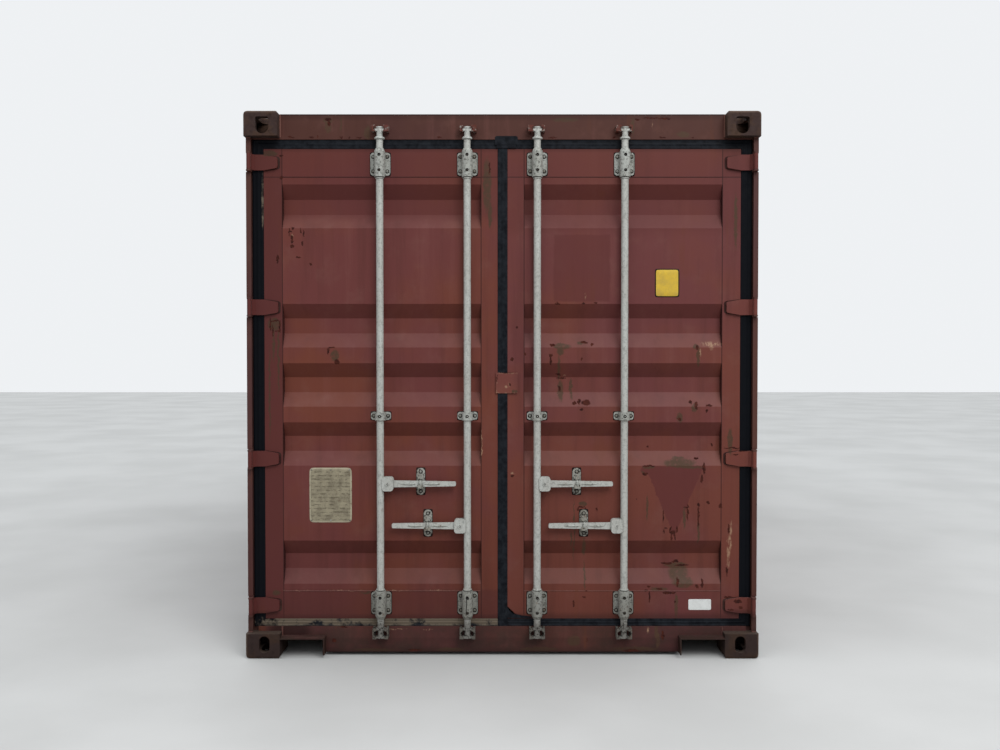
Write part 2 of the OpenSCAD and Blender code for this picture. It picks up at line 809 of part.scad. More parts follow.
// Tunnels for forks: side plates and roof, with a strap under each end
module fork_pockets() {
  end_x = side_x - low_rail_t;
  low = low_rail_z + low_rail_t;
  top = floor_z - board_t;
  half_w = pocket_w / 2;
  color(paint) for (s = [-1, 1]) translate([0, s * pocket_pitch / 2, 0]) {
    for (e = [0, 1]) mirror([0, e, 0]) block([-end_x, half_w, low], [end_x, half_w + pocket_t, top]);
    block([-end_x, -half_w - pocket_t, top - pocket_t], [end_x, half_w + pocket_t, top]);
    both_sides()
      block([end_x - pocket_strap, -half_w - pocket_t, low], [end_x, half_w + pocket_t, pocket_low()]);
  }
}

// Louvred box in a sunk face high on each side wall, near opposite ends
module ventilators() {
  inner_x = side_x - post_t / 2 - wall_depth;
  z = wall_top - vent_drop;
  half_l = wall_inner / 2 - vent_gap;
  color(dark_paint) for (s = [-1, 1]) on_side(s) translate([0, s * vent_y(), 0])
    block([inner_x, -half_l, z - vent_h], [inner_x + vent_d, half_l, z]);
}

// Middle of the second sunk face from the side wall's end
function vent_y() =
  let (n = floor((length - 2 * post_back - wall_outer) / wall_pitch)) (n / 2 - 1.5) * wall_pitch;

// Hook standing on z = 0 beside a cam: a web on the face and a lip in front of the cam's flanges
module keeper_hook(face, reach, h) {
  web_x = cam_r + keeper_gap;
  difference() {
    linear_extrude(h) polygon([
      [web_x, face], [reach, face], [reach, keeper_front], [keeper_slot / 2, keeper_front],
      [keeper_slot / 2, keeper_front + keeper_t], [web_x, keeper_front + keeper_t]
    ]);
    translate([keeper_slot / 2, face - keeper_t, h / 2]) rotate([90, 0, 0])
      cylinder(d = h * notch_share, h = face);
  }
}

// A pair of hooks round each cam; the top ones reach further on the side towards the middle
module cam_keepers() {
  top_foot = cam_top_z + top_keeper_rise - top_keeper_h;
  color(dark_paint) door_end() both_sides() for (x = [rod_inner_x, rod_outer_x]) translate([x, 0, 0]) {
    translate([0, 0, cam_low_z]) both_sides() keeper_hook(sill_front, low_keeper_w / 2, low_cam_h);
    translate([0, 0, top_foot]) {
      keeper_hook(header_front, top_keeper_far, top_keeper_h);
      mirror([1, 0, 0]) keeper_hook(header_front, top_keeper_near, top_keeper_h);
    }
  }
}

module at_hinges() {
  for (i = [0:hinge_count - 1]) {
    rise = i > 0 && i == hinge_count - 2 ? upper_hinge_rise : 0;
    translate([0, 0, leaf_low + hinge_inset + i * hinge_pitch + rise]) children();
  }
}

// Lugs above and below each knuckle, joined by the pin and welded into the post behind its notch
module hinge_lugs() {
  inside = side_x - post_t;
  behind = fin_edge + (inside - fin_edge) / 6;
  color(dark_paint) both_sides() door_end() at_hinges() {
    for (s = [-1, 1]) translate([0, 0, s * (knuckle_half + lug_t / 2) - lug_t / 2]) linear_extrude(lug_t) {
      translate([pin_x, pin_depth]) circle(knuckle_r);
      polygon([
        [pin_x - knuckle_r + 1, pin_depth], [inside, pin_depth], [inside, jamb_front], [behind, jamb_front],
        [behind, post_front + post_t], [pin_x - knuckle_r, post_front]
      ]);
    }
    translate([pin_x, pin_depth, -knuckle_half - lug_t]) cylinder(r = pin_r, h = 2 * (knuckle_half + lug_t));
  }
}

// Swan-necked blade from the knuckle over the gasket to the leaf's face
module hinge_blade() {
  front = leaf_front - blade_t;
  over = fin_front - seal_gap;
  rest = leaf_edge - blade_inset;
  neck_x = pin_x - knuckle_r;
  bend_x = neck_x + blade_neck_t;
  half_h = blade_h / 2;
  tip = blade_tip_h / 2;
  r = blade_corner_r;
  difference() {
    union() {
      linear_extrude(blade_h, center = true) {
        translate([pin_x, pin_depth]) circle(knuckle_r);
        polygon([
          [neck_x + 1, pin_depth], [neck_x, post_front - blade_neck_t / 2], [neck_x - blade_neck_t, front],
          [rest - 1, front], [rest - 1, over], [neck_x - blade_neck_t / 2, over], [bend_x - 1, post_front],
          [bend_x, pin_depth]
        ]);
      }
      translate([rest, leaf_front, 0]) mirror([1, 0, 0]) rotate([90, 0, 0]) linear_extrude(blade_t) {
        polygon([[0, -half_h], [0, half_h], [blade_reach - r, tip], [blade_reach - r, -tip]]);
        translate([blade_reach - 2 * r, r - tip]) square([2 * r, blade_tip_h - 2 * r]);
        for (z = [r - tip, tip - r]) translate([blade_reach - r, z]) circle(r);
      }
    }
    translate([pin_x, pin_depth, -blade_h]) cylinder(r = pin_r + pin_play, h = 2 * blade_h);
  }
}

module hinge_blades() { color(paint) door_end() at_hinges() hinge_blade(); }

// Rectangular tubes at the hinge side and at the middle
module door_stiles(side) {
  t = leaf_tube_t;
  color(paint) on_side(side) door_end() for (x = [[leaf_edge - hinge_stile_w, leaf_edge],
      [mid_edge(side), mid_edge(side) + lock_stile_w]]) difference() {
    block([x[0], leaf_front, leaf_low], [x[1], leaf_back, leaf_top]);
    block([x[0] + t, leaf_front + t, leaf_low - 1], [x[1] - t, leaf_back - t, leaf_top + 1]);
  }
}

// Channels at top and bottom, open towards the panel
module door_rails(side) {
  t = leaf_tube_t;
  x0 = mid_edge(side) + lock_stile_w;
  x1 = leaf_edge - hinge_stile_w;
  color(paint) on_side(side) door_end() translate([(x0 + x1) / 2, 0, 0]) across(x1 - x0) {
    translate([0, leaf_low]) rail_profile();
    translate([0, leaf_top]) mirror([0, 1]) rail_profile();
  }
}

module rail_profile() {
  t = leaf_tube_t;
  difference() {
    translate([leaf_front, 0]) square([leaf_d, leaf_rail_h]);
    translate([leaf_front + t, t]) square([leaf_d - 2 * t, leaf_rail_h - 2 * t]);
  }
}

// Sheet with level corrugations pressed inwards
module door_panel(side) {
  x0 = mid_edge(side) + lock_stile_w;
  x1 = leaf_edge - hinge_stile_w;
  low = leaf_low + leaf_rail_h;
  top = leaf_top - leaf_rail_h;
  steps = [-far_recess, -near_recess, 0, near_recess, far_recess];
  line = [[leaf_front, low], each [for (s = steps) each [
      [leaf_front, leaf_mid_z + s - panel_recess / 2],
      [leaf_front + panel_depth, leaf_mid_z + s - panel_recess_h / 2],
      [leaf_front + panel_depth, leaf_mid_z + s + panel_recess_h / 2],
      [leaf_front, leaf_mid_z + s + panel_recess / 2]
    ]], [leaf_front, top]];
  back = [for (i = [len(line) - 1:-1:0]) line[i] + [panel_t, 0]];
  color(paint) on_side(side) door_end() translate([(x0 + x1) / 2, 0, 0]) across(x1 - x0)
    polygon(concat(line, back));
}

// Rubber round a leaf: a body in the gap and a lip in front of it
module door_gasket(side) {
  g = seal_gap;
  lip_mid = mid_edge(side) + g - (side > 0 ? leaf_mid_gap : 2 * g);
  body_mid = mid_edge(side) + g - leaf_mid_gap / 2;
  lip_back = fin_front + fin_t;
  color(rubber) on_side(side) door_end() {
    difference() {
      block([body_mid, lip_back, sill_top_z + sill_rise + g], [jamb_x - g, leaf_back, opening_top - g]);
      block([mid_edge(side), 0, leaf_low], [leaf_edge, leaf_back + 1, leaf_top]);
    }
    difference() {
      block([lip_mid, fin_front, sill_face_z + g], [fin_edge, lip_back, header_z - g]);
      block([mid_edge(side), 0, leaf_low], [leaf_edge, leaf_back + 1, leaf_top]);
    }
  }
}

// Plate on the leaf with the foot that carries a barrel
module bracket_foot(plate_h) {
  half_w = bore_r + barrel_t;
  corner = min(bracket_corner_r, plate_h / 3);
  translate([0, leaf_front, 0]) rotate([90, 0, 0]) linear_extrude(bracket_t)
    rounded(bracket_w, plate_h, corner);
  block([-half_w, rod_depth, -plate_h / 2], [half_w, leaf_front, plate_h / 2]);
}

// Long bracket with its tapered end up, towards the cam, and two holes in the front of its barrel
module end_bracket() {
  straight = barrel_h - barrel_taper_h;
  difference() {
    union() {
      bracket_foot(bracket_h);
      translate([0, rod_depth, bracket_h / 2 - straight]) cylinder(r = bore_r + barrel_t, h = straight);
      translate([0, rod_depth, bracket_h / 2])
        cylinder(r1 = bore_r + barrel_t, r2 = bore_r + barrel_tip_t, h = barrel_taper_h);
    }
    translate([0, rod_depth, -barrel_h]) cylinder(r = bore_r, h = 2 * barrel_h);
    for (s = [-1, 1]) translate([0, rod_depth, s * grease_z]) rotate([90, 0, 0])
      cylinder(r = grease_r, h = rod_depth);
  }
}

module mid_bracket() {
  difference() {
    union() {
      bracket_foot(mid_bracket_h);
      translate([0, rod_depth, -mid_bracket_h / 2]) cylinder(r = bore_r + barrel_t, h = mid_bracket_h);
    }
    translate([0, rod_depth, -mid_bracket_h]) cylinder(r = bore_r, h = 2 * mid_bracket_h);
  }
}

module rod_brackets(side) {
  color(zinc) on_side(side) door_end() for (x = [rod_inner_x, rod_outer_x]) translate([x, 0, 0]) {
    translate([0, 0, low_bracket_z]) mirror([0, 0, 1]) end_bracket();
    translate([0, 0, mid_bracket_z]) mid_bracket();
    translate([0, 0, top_bracket_z]) end_bracket();
  }
}

// Plate with a seat and a lip under the handle's bar and a stop above it
module retainer() {
  bar_h = handle_h + (handle_tip_h - handle_h) * (retainer_x - handle_pin_x) / handle_l;
  w = retainer_lip_w;
  under = -bar_h / 2 - seat_gap - (handle_h - handle_tip_h) / handle_l * w / 4;
  lip_back = rod_depth - handle_t / 2 - hub_gap;
  foot = leaf_front - bracket_t;
  translate([0, leaf_front, retainer_rise]) rotate([90, 0, 0]) linear_extrude(bracket_t)
    stadium(retainer_w, retainer_h);
  block([-w / 2, lip_back - retainer_t, under - retainer_t], [w / 2, foot, under]);
  translate([0, lip_back, under]) rotate([90, 0, 0]) linear_extrude(retainer_t) polygon([
    [-w / 2, -retainer_t], [w / 2, -retainer_t], [w / 2, bar_h / 3], [0, bar_h * 0.6], [-w / 2, bar_h / 3]
  ]);
  translate([0, foot, (bar_h + w) / 2 + stop_gap]) rotate([90, 0, 0])
    cylinder(d = w, h = foot - rod_depth - handle_t / 2 - stop_gap);
}

module handle_retainers(side) {
  color(zinc) door_end() for (rod = [0, 1]) {
    x = side * (rod == 0 ? rod_inner_x : rod_outer_x);
    left_rod = (side < 0) == (rod == 1);
    translate([x + (left_rod ? retainer_x : -retainer_x), 0, left_rod ? handle_high_z : handle_low_z])
      retainer();
  }
}

// Stepped plate on the right leaf that laps over the left one
module centre_lock_plate() {
  inner = mid_edge(1);
  x1 = centre_plate_w - inner - centre_plate_reach;
  front = fin_front - seal_gap - centre_plate_t;
  low = leaf_mid_z + centre_plate_rise - centre_plate_h / 2;
  color(paint) door_end() {
    block([x1 - centre_plate_w, front, low], [x1, front + centre_plate_t, low + centre_plate_h]);
    block([inner + centre_step, front, low], [x1, leaf_front, low + centre_plate_h]);
  }
}

// Flange of a cam that stands on z = 0, with flats front and back
module cam_flange() {
  linear_extrude(cam_flange_h) intersection() {
    circle(cam_r);
    square([2 * cam_r, cam_flat], center = true);
  }
}

// Bottom cam standing on z = 0: a column with a flange at each end
module low_cam() {
  cylinder(r = waist_r, h = low_cam_h);
  cam_flange();
  translate([0, 0, low_cam_h - cam_flange_h]) cam_flange();
}

// Top cam standing on z = 0: a collar under the keeper, a column, a flange and a flared head
module top_cam() {
  head_z = top_cam_h - cam_flange_h / 2;
  cylinder(r = waist_r, h = top_cam_h);
  cylinder(r = cam_r, h = collar_h / 2);
  translate([0, 0, collar_h / 2]) cylinder(r1 = cam_r, r2 = waist_r, h = collar_h / 2);
  translate([0, 0, head_z - 1.5 * cam_flange_h]) cam_flange();
  translate([0, 0, head_z - cam_flange_h / 2]) cylinder(r1 = waist_r, r2 = cam_head_r, h = cam_flange_h / 2);
  translate([0, 0, head_z]) cylinder(r = cam_head_r, h = cam_flange_h / 2);
}

// Forked hub beside the rod, with the handle's pin and its heads; it points along +x
module hub() {
  slot = handle_t + 2 * hub_gap;
  difference() {
    translate([handle_pin_x, hub_d / 2, 0]) rotate([90, 0, 0]) linear_extrude(hub_d)
      rounded(hub_w, hub_h, hub_corner_r);
    block([rod_r + 1, -slot / 2, -hub_h], [hub_x + hub_w + 1, slot / 2, hub_h]);
  }
  translate([handle_pin_x, hub_d / 2, 0]) rotate([90, 0, 0]) cylinder(r = handle_pin_r, h = hub_d);
  for (y = [-hub_d / 2, hub_d / 2 + pin_head_h]) translate([handle_pin_x, y, 0]) rotate([90, 0, 0])
    cylinder(r = pin_head_r, h = pin_head_h);
}

// A rod at its own axis, its handle hub on the side that dir points to
module lock_rod(x, dir) {
  reach = bracket_h / 2 + barrel_taper_h;
  body_low = low_bracket_z - reach;
  body_top = top_bracket_z + reach;
  top_foot = cam_top_z - top_cam_h;
  color(zinc) door_end() translate([x, rod_depth, 0]) {
    translate([0, 0, body_low]) cylinder(r = rod_r, h = body_top - body_low);
    translate([0, 0, cam_low_z + low_cam_h]) cylinder(r = neck_r, h = top_foot - cam_low_z - low_cam_h);
    for (z = [cam_low_z + low_cam_h, top_foot - ring_h]) translate([0, 0, z]) cylinder(r = rod_r, h = ring_h);
    translate([0, 0, cam_low_z]) low_cam();
    translate([0, 0, top_foot]) top_cam();
    translate([0, 0, dir > 0 ? handle_high_z : handle_low_z]) on_side(dir) hub();
  }
}

// Tapered bar on its pin, resting level
module handle(x, dir) {
  h = handle_h / 2;
  tip = handle_tip_h / 2;
  b = handle_bevel;
  color(zinc) door_end() translate([x, rod_depth, dir > 0 ? handle_high_z : handle_low_z]) on_side(dir)
    translate([handle_pin_x, handle_t / 2, 0]) rotate([90, 0, 0]) linear_extrude(handle_t) difference() {
      union() {
        circle(h);
        polygon([
          [0, -h], [handle_l - b, -tip], [handle_l, b - tip], [handle_l, tip - b], [handle_l - b, tip], [0, h]
        ]);
      }
      circle(handle_pin_r + pin_play);
    }
}

castings_door_bottom();
castings_door_top();
castings_end_bottom();
castings_end_top();
door_post_left();
door_post_right();
end_posts();
door_header();
door_sill();
sill_guards();
end_top_rail();
end_bottom_rail();
top_side_rails();
bottom_side_rails();
side_wall_left();
side_wall_right();
end_wall();
roof_panel();
roof_corner_plates();
floor_boards();
cross_members();
fork_pockets();
cam_keepers();
hinge_lugs();
ventilators();
door_stiles(-1);  // left_door_stiles
door_rails(-1);  // left_door_rails
door_panel(-1);  // left_door_panel
door_gasket(-1);  // left_door_gasket
on_side(-1) hinge_blades();  // left_hinge_blades
rod_brackets(-1);  // left_rod_brackets
handle_retainers(-1);  // left_handle_retainers
door_stiles(1);  // right_door_stiles
door_rails(1);  // right_door_rails
door_panel(1);  // right_door_panel
door_gasket(1);  // right_door_gasket
on_side(1) hinge_blades();  // right_hinge_blades
rod_brackets(1);  // right_rod_brackets
handle_retainers(1);  // right_handle_retainers
centre_lock_plate();
lock_rod(-rod_outer_x, 1);  // lock_rod_left_outer
lock_rod(-rod_inner_x, -1);  // lock_rod_left_inner
lock_rod(rod_inner_x, 1);  // lock_rod_right_inner
lock_rod(rod_outer_x, -1);  // lock_rod_right_outer
handle(-rod_outer_x, 1);  // handle_left_outer
handle(-rod_inner_x, -1);  // handle_left_inner
handle(rod_inner_x, 1);  // handle_right_inner
handle(rod_outer_x, -1);  // handle_right_outer
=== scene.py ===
import math
import bmesh
import bpy
import numpy as np
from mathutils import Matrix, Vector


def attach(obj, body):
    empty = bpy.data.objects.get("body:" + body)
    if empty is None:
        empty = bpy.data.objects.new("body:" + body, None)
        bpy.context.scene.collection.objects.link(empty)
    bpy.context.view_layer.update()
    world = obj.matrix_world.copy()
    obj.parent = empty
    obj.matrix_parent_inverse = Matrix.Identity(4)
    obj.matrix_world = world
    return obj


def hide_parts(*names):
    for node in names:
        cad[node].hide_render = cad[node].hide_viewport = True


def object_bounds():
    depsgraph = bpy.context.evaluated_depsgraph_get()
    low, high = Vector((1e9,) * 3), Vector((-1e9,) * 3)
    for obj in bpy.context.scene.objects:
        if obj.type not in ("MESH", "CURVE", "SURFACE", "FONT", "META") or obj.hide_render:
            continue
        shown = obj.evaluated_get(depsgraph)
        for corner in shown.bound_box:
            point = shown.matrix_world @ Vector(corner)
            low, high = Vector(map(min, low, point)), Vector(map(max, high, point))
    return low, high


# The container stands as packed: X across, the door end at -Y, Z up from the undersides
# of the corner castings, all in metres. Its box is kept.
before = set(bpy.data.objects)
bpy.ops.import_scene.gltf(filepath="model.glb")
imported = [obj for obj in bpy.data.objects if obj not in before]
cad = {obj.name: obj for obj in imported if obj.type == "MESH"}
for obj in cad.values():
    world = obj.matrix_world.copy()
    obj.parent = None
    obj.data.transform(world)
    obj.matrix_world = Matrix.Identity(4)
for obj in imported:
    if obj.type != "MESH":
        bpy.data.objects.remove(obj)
cad_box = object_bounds()
scene = bpy.context.scene
scene.view_settings.view_transform = "Standard"


# Camera of the photograph: square on to the doors, 4.6 m away at chest height, tilted
# down by a little more than a degree.
camera = bpy.data.objects.new("camera", bpy.data.cameras.new("camera"))
scene.collection.objects.link(camera)
camera.location = (-0.0109, -7.639, 1.444)
camera.rotation_euler = (math.radians(88.81), 0.0, 0.0)
camera.data.lens = 35.19
camera.data.sensor_width = 36.0
scene.camera = camera


# Studio: an even sky that is brighter overhead and one broad soft lamp high on the right,
# over a pale, faintly clouded floor. The camera and shiny surfaces see a plain backdrop.
def add(tree, kind, inputs=None, **options):
    """Adds one shader node. Each input is a plain value, or another node's output to link."""
    made = tree.nodes.new("ShaderNode" + kind)
    for name, value in options.items():
        setattr(made, name, value)
    for name, value in (inputs or {}).items():
        if isinstance(value, bpy.types.NodeSocket):
            tree.links.new(value, made.inputs[name])
        else:
            made.inputs[name].default_value = value
    return made


def calc(tree, operation, *values):
    """One step of arithmetic in a shader."""
    return add(tree, "Math", dict(enumerate(values)), operation=operation).outputs[0]


def times(tree, first, second):
    """Two values multiplied."""
    return calc(tree, "MULTIPLY", first, second)


def most(tree, first, *others):
    """The largest of several values."""
    for other in others:
        first = calc(tree, "MAXIMUM", first, other)
    return first


def ramp(tree, value, low, high, start=0.0, end=1.0):
    """A smooth step: start where the value is low, end where it is high."""
    step = {"Value": value, "From Min": low, "From Max": high, "To Min": start, "To Max": end}
    return add(tree, "MapRange", step, interpolation_type="SMOOTHSTEP").outputs[0]


def axes(tree, place):
    """The X, Y and Z of a place or a normal, each by its letter."""
    return add(tree, "SeparateXYZ", {0: place}).outputs


def blend(tree, amount, first, second):
    """Mixes two colours by an amount from 0 to 1."""
    return add(tree, "MixRGB", {0: amount, 1: first, 2: second}).outputs[0]


world = bpy.data.worlds.new("studio")
world.use_nodes = True
scene.world = world
sky = world.node_tree
sky.nodes.clear()
upward = axes(sky, add(sky, "TexCoord").outputs["Generated"])["Z"]
overhead = add(sky, "Background", {
    "Color": (0.94, 0.97, 1.0, 1.0),
    "Strength": ramp(sky, upward, -0.5, 1.0, 0.02, 1.5),
})
backdrop = add(sky, "Background", {"Color": (0.86, 0.88, 0.9, 1.0), "Strength": 1.0})
path = add(sky, "LightPath").outputs
seen = most(sky, path["Is Camera Ray"], path["Is Glossy Ray"], path["Is Transmission Ray"])
shown = add(sky, "MixShader", {0: seen, 1: overhead.outputs[0], 2: backdrop.outputs[0]})
add(sky, "OutputWorld", {"Surface": shown.outputs[0]})

lamp = bpy.data.objects.new("soft_lamp", bpy.data.lights.new("soft_lamp", "AREA"))
scene.collection.objects.link(lamp)
lamp.data.shape = "DISK"
lamp.data.size = 5.0
lamp.data.energy = 362.0
lamp.location = (2.8, -8.8, 7.0)
lamp.rotation_euler = (math.radians(52.0), 0.0, math.radians(19.0))

floor = bpy.data.objects.new("studio_floor", bpy.data.meshes.new("studio_floor"))
floor.data.from_pydata([(-30, -14, 0), (30, -14, 0), (30, 30, 0), (-30, 30, 0)], [], [(0, 1, 2, 3)])
scene.collection.objects.link(floor)
concrete = bpy.data.materials.new("studio_floor")
concrete.use_nodes = True
tree = concrete.node_tree
tree.nodes.clear()
where = add(tree, "TexCoord").outputs["Object"]
cloud = add(tree, "TexNoise", {"Vector": where, "Scale": 0.8, "Detail": 8.0}).outputs["Fac"]
pale = blend(tree, ramp(tree, cloud, 0.3, 0.7), (0.46, 0.46, 0.45, 1.0), (0.52, 0.52, 0.51, 1.0))
path = add(tree, "LightPath").outputs
seen = most(tree, path["Is Camera Ray"], path["Is Glossy Ray"])
colour = blend(tree, seen, (0.3, 0.29, 0.28, 1.0), pale)
shader = add(tree, "BsdfPrincipled", {"Base Color": colour, "Roughness": 0.9})
add(tree, "OutputMaterial", {"Surface": shader.outputs[0]})
floor.data.materials.append(concrete)


# Weathered paint, used on every painted member: oxide red alkyd over primer, faded in
# cloudy areas, dusty where it faces up, chipped to rust that weeps downwards.
def linear(red, green, blue):
    """A colour given as 0 to 255 on a screen, as the light that a shader works with."""
    value = np.array([red, green, blue]) / 255.0
    light = np.where(value <= 0.04045, value / 12.92, ((value + 0.055) / 1.055) ** 2.4)
    return (*light.tolist(), 1.0)


def surface(name, inputs):
    """Starts a node group that works out a surface from inputs given as name: default. Returns its
    tree, its inputs, and the place and the normal at each point of the object."""
    made = bpy.data.node_groups.new(name, "ShaderNodeTree")
    for label, value in inputs.items():
        kind = "NodeSocketColor" if isinstance(value, tuple) else "NodeSocketFloat"
        made.interface.new_socket(label, in_out="INPUT", socket_type=kind).default_value = value
    for label, kind in (("Color", "Color"), ("Roughness", "Float"), ("Height", "Float")):
        made.interface.new_socket(label, in_out="OUTPUT", socket_type="NodeSocket" + kind)
    given = made.nodes.new("NodeGroupInput").outputs
    coordinates = add(made, "TexCoord").outputs
    return made, given, coordinates["Object"], coordinates["Normal"]


def complete(tree, colour, roughness, height):
    """Ends a surface group with its three results."""
    result = tree.nodes.new("NodeGroupOutput").inputs
    for label, value in (("Color", colour), ("Roughness", roughness), ("Height", height)):
        tree.links.new(value, result[label])


def coats(tree, colour, layers):
    """Lays coats over a colour in turn. Each is what it is, the share of it from 0 to 1 at each
    point, and its colour as 0 to 255 on a screen."""
    for label, share, tint in layers:
        colour = add(tree, "MixRGB", {0: share, 1: colour, 2: linear(*tint)}, label=label).outputs[0]
    return colour


def vector(tree, operation, first, second):
    """One step of arithmetic on X, Y and Z at once."""
    return add(tree, "VectorMath", {0: first, 1: second}, operation=operation).outputs[0]


def cloudy(tree, where, scale, detail=4.0, rough=0.55, stretch=(1.0, 1.0, 1.0)):
    """Noise from 0 to 1 with about scale patches to the metre, drawn out by the stretch."""
    drawn = vector(tree, "MULTIPLY", where, stretch)
    look = {"Vector": drawn, "Scale": scale, "Detail": detail, "Roughness": rough}
    return add(tree, "TexNoise", look).outputs["Fac"]


# Besides dirt and wear, this paint carries painted shade: on faces that look down, lower down, and through
# the unfaded and seams inputs where the leaves and the sill feed it.
paint_group, given, where, normal = surface("weathered_paint", {
    "Paint": (0.14, 0.05, 0.04, 1.0), "Rust": 0.5, "Grime and low shade": 0.4, "Chips": 0.0, "Stains": 0.0,
    "Unfaded and shade": 0.0, "Scrapes": 0.0, "Seams and dark bands": 0.0,
})
t = paint_group
facing = axes(t, normal)["Z"]
level = axes(t, where)["Z"]
broad = cloudy(t, where, 1.3, 4.0, 0.6)
fine = cloudy(t, where, 9.0, 6.0, 0.6)
runs = cloudy(t, where, 15.0, 5.0, 0.6, (1.0, 1.0, 0.06))
brown = add(t, "HueSaturation", {"Hue": 0.508, "Saturation": 1.03, "Value": 1.1, "Color": given["Paint"]})
pink = add(t, "HueSaturation", {"Hue": 0.492, "Saturation": 0.93, "Value": 0.98, "Color": given["Paint"]})
faded = blend(t, ramp(t, broad, 0.38, 0.6), pink.outputs[0], brown.outputs[0])
dust = times(t, ramp(t, facing, 0.15, 0.8), ramp(t, fine, 0.25, 0.75, 0.2, 0.5))
# Darker lower down: partly grime, partly painted shade.
low = times(t, ramp(t, level, 1.2, 0.0), given["Grime and low shade"])
mud = times(t, ramp(t, level, 0.3, 0.02), ramp(t, cloudy(t, where, 6.0, 7.0, 0.7), 0.35, 0.65))
zones = ramp(t, cloudy(t, where, 2.6, 3.0), 0.42, 0.68, 0.0, 0.13)
weep = calc(t, "ADD", cloudy(t, where, 22.0, 4.0, 0.5, (1.0, 1.0, 0.08)), zones)
weep = times(t, ramp(t, weep, 0.66, 0.8), times(t, given["Rust"], 0.5))
limit = calc(t, "MULTIPLY_ADD", given["Rust"], -0.12, 0.86)
chips = calc(t, "SUBTRACT", calc(t, "ADD", cloudy(t, where, 26.0, 9.0, 0.62), zones), limit)
rusted = most(t, ramp(t, chips, 0.0, 0.02), given["Chips"])
rust = blend(t, ramp(t, cloudy(t, where, 60.0, 5.0, 0.7), 0.35, 0.65), linear(42, 18, 16), linear(74, 34, 24))
colour = coats(t, faded, [
    ("dark runs", ramp(t, runs, 0.5, 0.7, 0.0, 0.26), (66, 36, 30)),
    ("chalky runs", ramp(t, runs, 0.46, 0.3, 0.0, 0.14), (128, 82, 76)),
    ("bleached patches", ramp(t, fine, 0.5, 0.75, 0.0, 0.18), (120, 84, 76)),
    ("dust", dust, (122, 90, 86)),
    # Painted shade: faces that look down are darkened.
    ("undersides", ramp(t, facing, -0.1, -0.6, 0.0, 0.45), (74, 30, 22)),
    ("grime and painted shade lower down", times(t, low, 0.36), (56, 24, 20)),
    ("mud", times(t, mud, given["Grime and low shade"]), (48, 39, 33)),
    # Unfaded paint, and painted shade that the leaves feed through the same input.
    ("unfaded paint and painted shade", times(t, given["Unfaded and shade"], 0.85), (88, 44, 42)),
    ("stains", given["Stains"], (74, 54, 41)),
    # Dark seams, and dark bands fed through the same input: painted shade on the leaves and the sill, a
    # darker top edge on the header.
    ("dark seams and bands", given["Seams and dark bands"], (36, 20, 19)),
    ("scrapes", given["Scrapes"], (146, 114, 92)),
    ("weeping rust", weep, (94, 52, 30)),
])
rough = calc(t, "ADD", ramp(t, fine, 0.3, 0.7, 0.4, 0.55), times(t, rusted, 0.3))
rough = calc(t, "ADD", rough, times(t, dust, 0.25))
relief = calc(t, "ADD", times(t, rusted, -0.8), times(t, fine, 0.35))
relief = calc(t, "ADD", relief, times(t, broad, 1.2))
complete(t, blend(t, rusted, colour, rust), rough, relief)


def finish(name, node_group, values, metallic=0.0, depth=0.0008, gloss=0.12):
    """A material whose colour, roughness and relief come from one node group with these values."""
    made = bpy.data.materials.new(name)
    made.use_nodes = True
    tree = made.node_tree
    tree.nodes.clear()
    look = add(tree, "Group", values, node_tree=node_group)
    relief = add(tree, "Bump", {"Height": look.outputs["Height"], "Distance": depth, "Strength": 1.0})
    shader = add(tree, "BsdfPrincipled", {
        "Base Color": look.outputs["Color"],
        "Roughness": look.outputs["Roughness"],
        "Metallic": metallic,
        "Specular IOR Level": gloss,
        "Normal": relief.outputs[0],
    })
    add(tree, "OutputMaterial", {"Surface": shader.outputs[0]})
    return made, tree, look, shader


def wear(names, material):
    """Gives CAD parts one material in every slot they have."""
    for name in names:
        slots = cad[name].data.materials
        slots.clear()
        slots.append(material)


frame_paint = finish("frame_paint", paint_group, {"Paint": linear(77, 48, 44), "Rust": 0.6, "Grime and low shade": 0.9})[0]
wear(["door_post_left", "door_post_right", "end_posts", "end_top_rail", "end_bottom_rail",
      "top_side_rails", "bottom_side_rails", "roof_corner_plates", "hinge_lugs"], frame_paint)


# Corner castings: cast steel boxes with slots, welded to the posts and rails. Their dark
# paint is worn by lifting gear to brown rust in patches and along the outer edges.
casting_group, given, where, normal = surface("worn_casting", {"Paint": (0.05, 0.03, 0.025, 1.0)})
t = casting_group
place = axes(t, where)
turn = axes(t, normal)
grain = cloudy(t, where, 40.0, 8.0, 0.7)
blot = cloudy(t, where, 11.0, 7.0, 0.65)
rims = most(t, ramp(t, place["Z"], 0.012, 0.003), ramp(t, place["Z"], 2.576, 2.588),
            ramp(t, calc(t, "ABSOLUTE", place["X"]), 1.206, 1.216))
rims = times(t, rims, ramp(t, calc(t, "ABSOLUTE", turn["Y"]), 0.15, 0.5))
rims = times(t, rims, ramp(t, cloudy(t, where, 24.0, 7.0, 0.7), 0.35, 0.6, 0.1, 0.6))
colour = coats(t, given["Paint"], [
    ("worn brown", ramp(t, blot, 0.42, 0.62), (68, 50, 40)),
    ("dark pits", ramp(t, grain, 0.5, 0.72, 0.0, 0.6), (32, 23, 20)),
    ("rust", ramp(t, cloudy(t, where, 17.0, 8.0, 0.75), 0.6, 0.68, 0.0, 0.7), (88, 56, 38)),
    ("dust", ramp(t, turn["Z"], 0.3, 0.9, 0.0, 0.4), (108, 94, 84)),
    ("soiled feet", ramp(t, place["Z"], 0.2, 0.1, 0.0, 0.4), (28, 22, 20)),
    ("rubbed rims", rims, (98, 78, 64)),
])
relief = calc(t, "ADD", grain, times(t, blot, 1.5))
complete(t, colour, ramp(t, grain, 0.3, 0.7, 0.6, 0.85), relief)
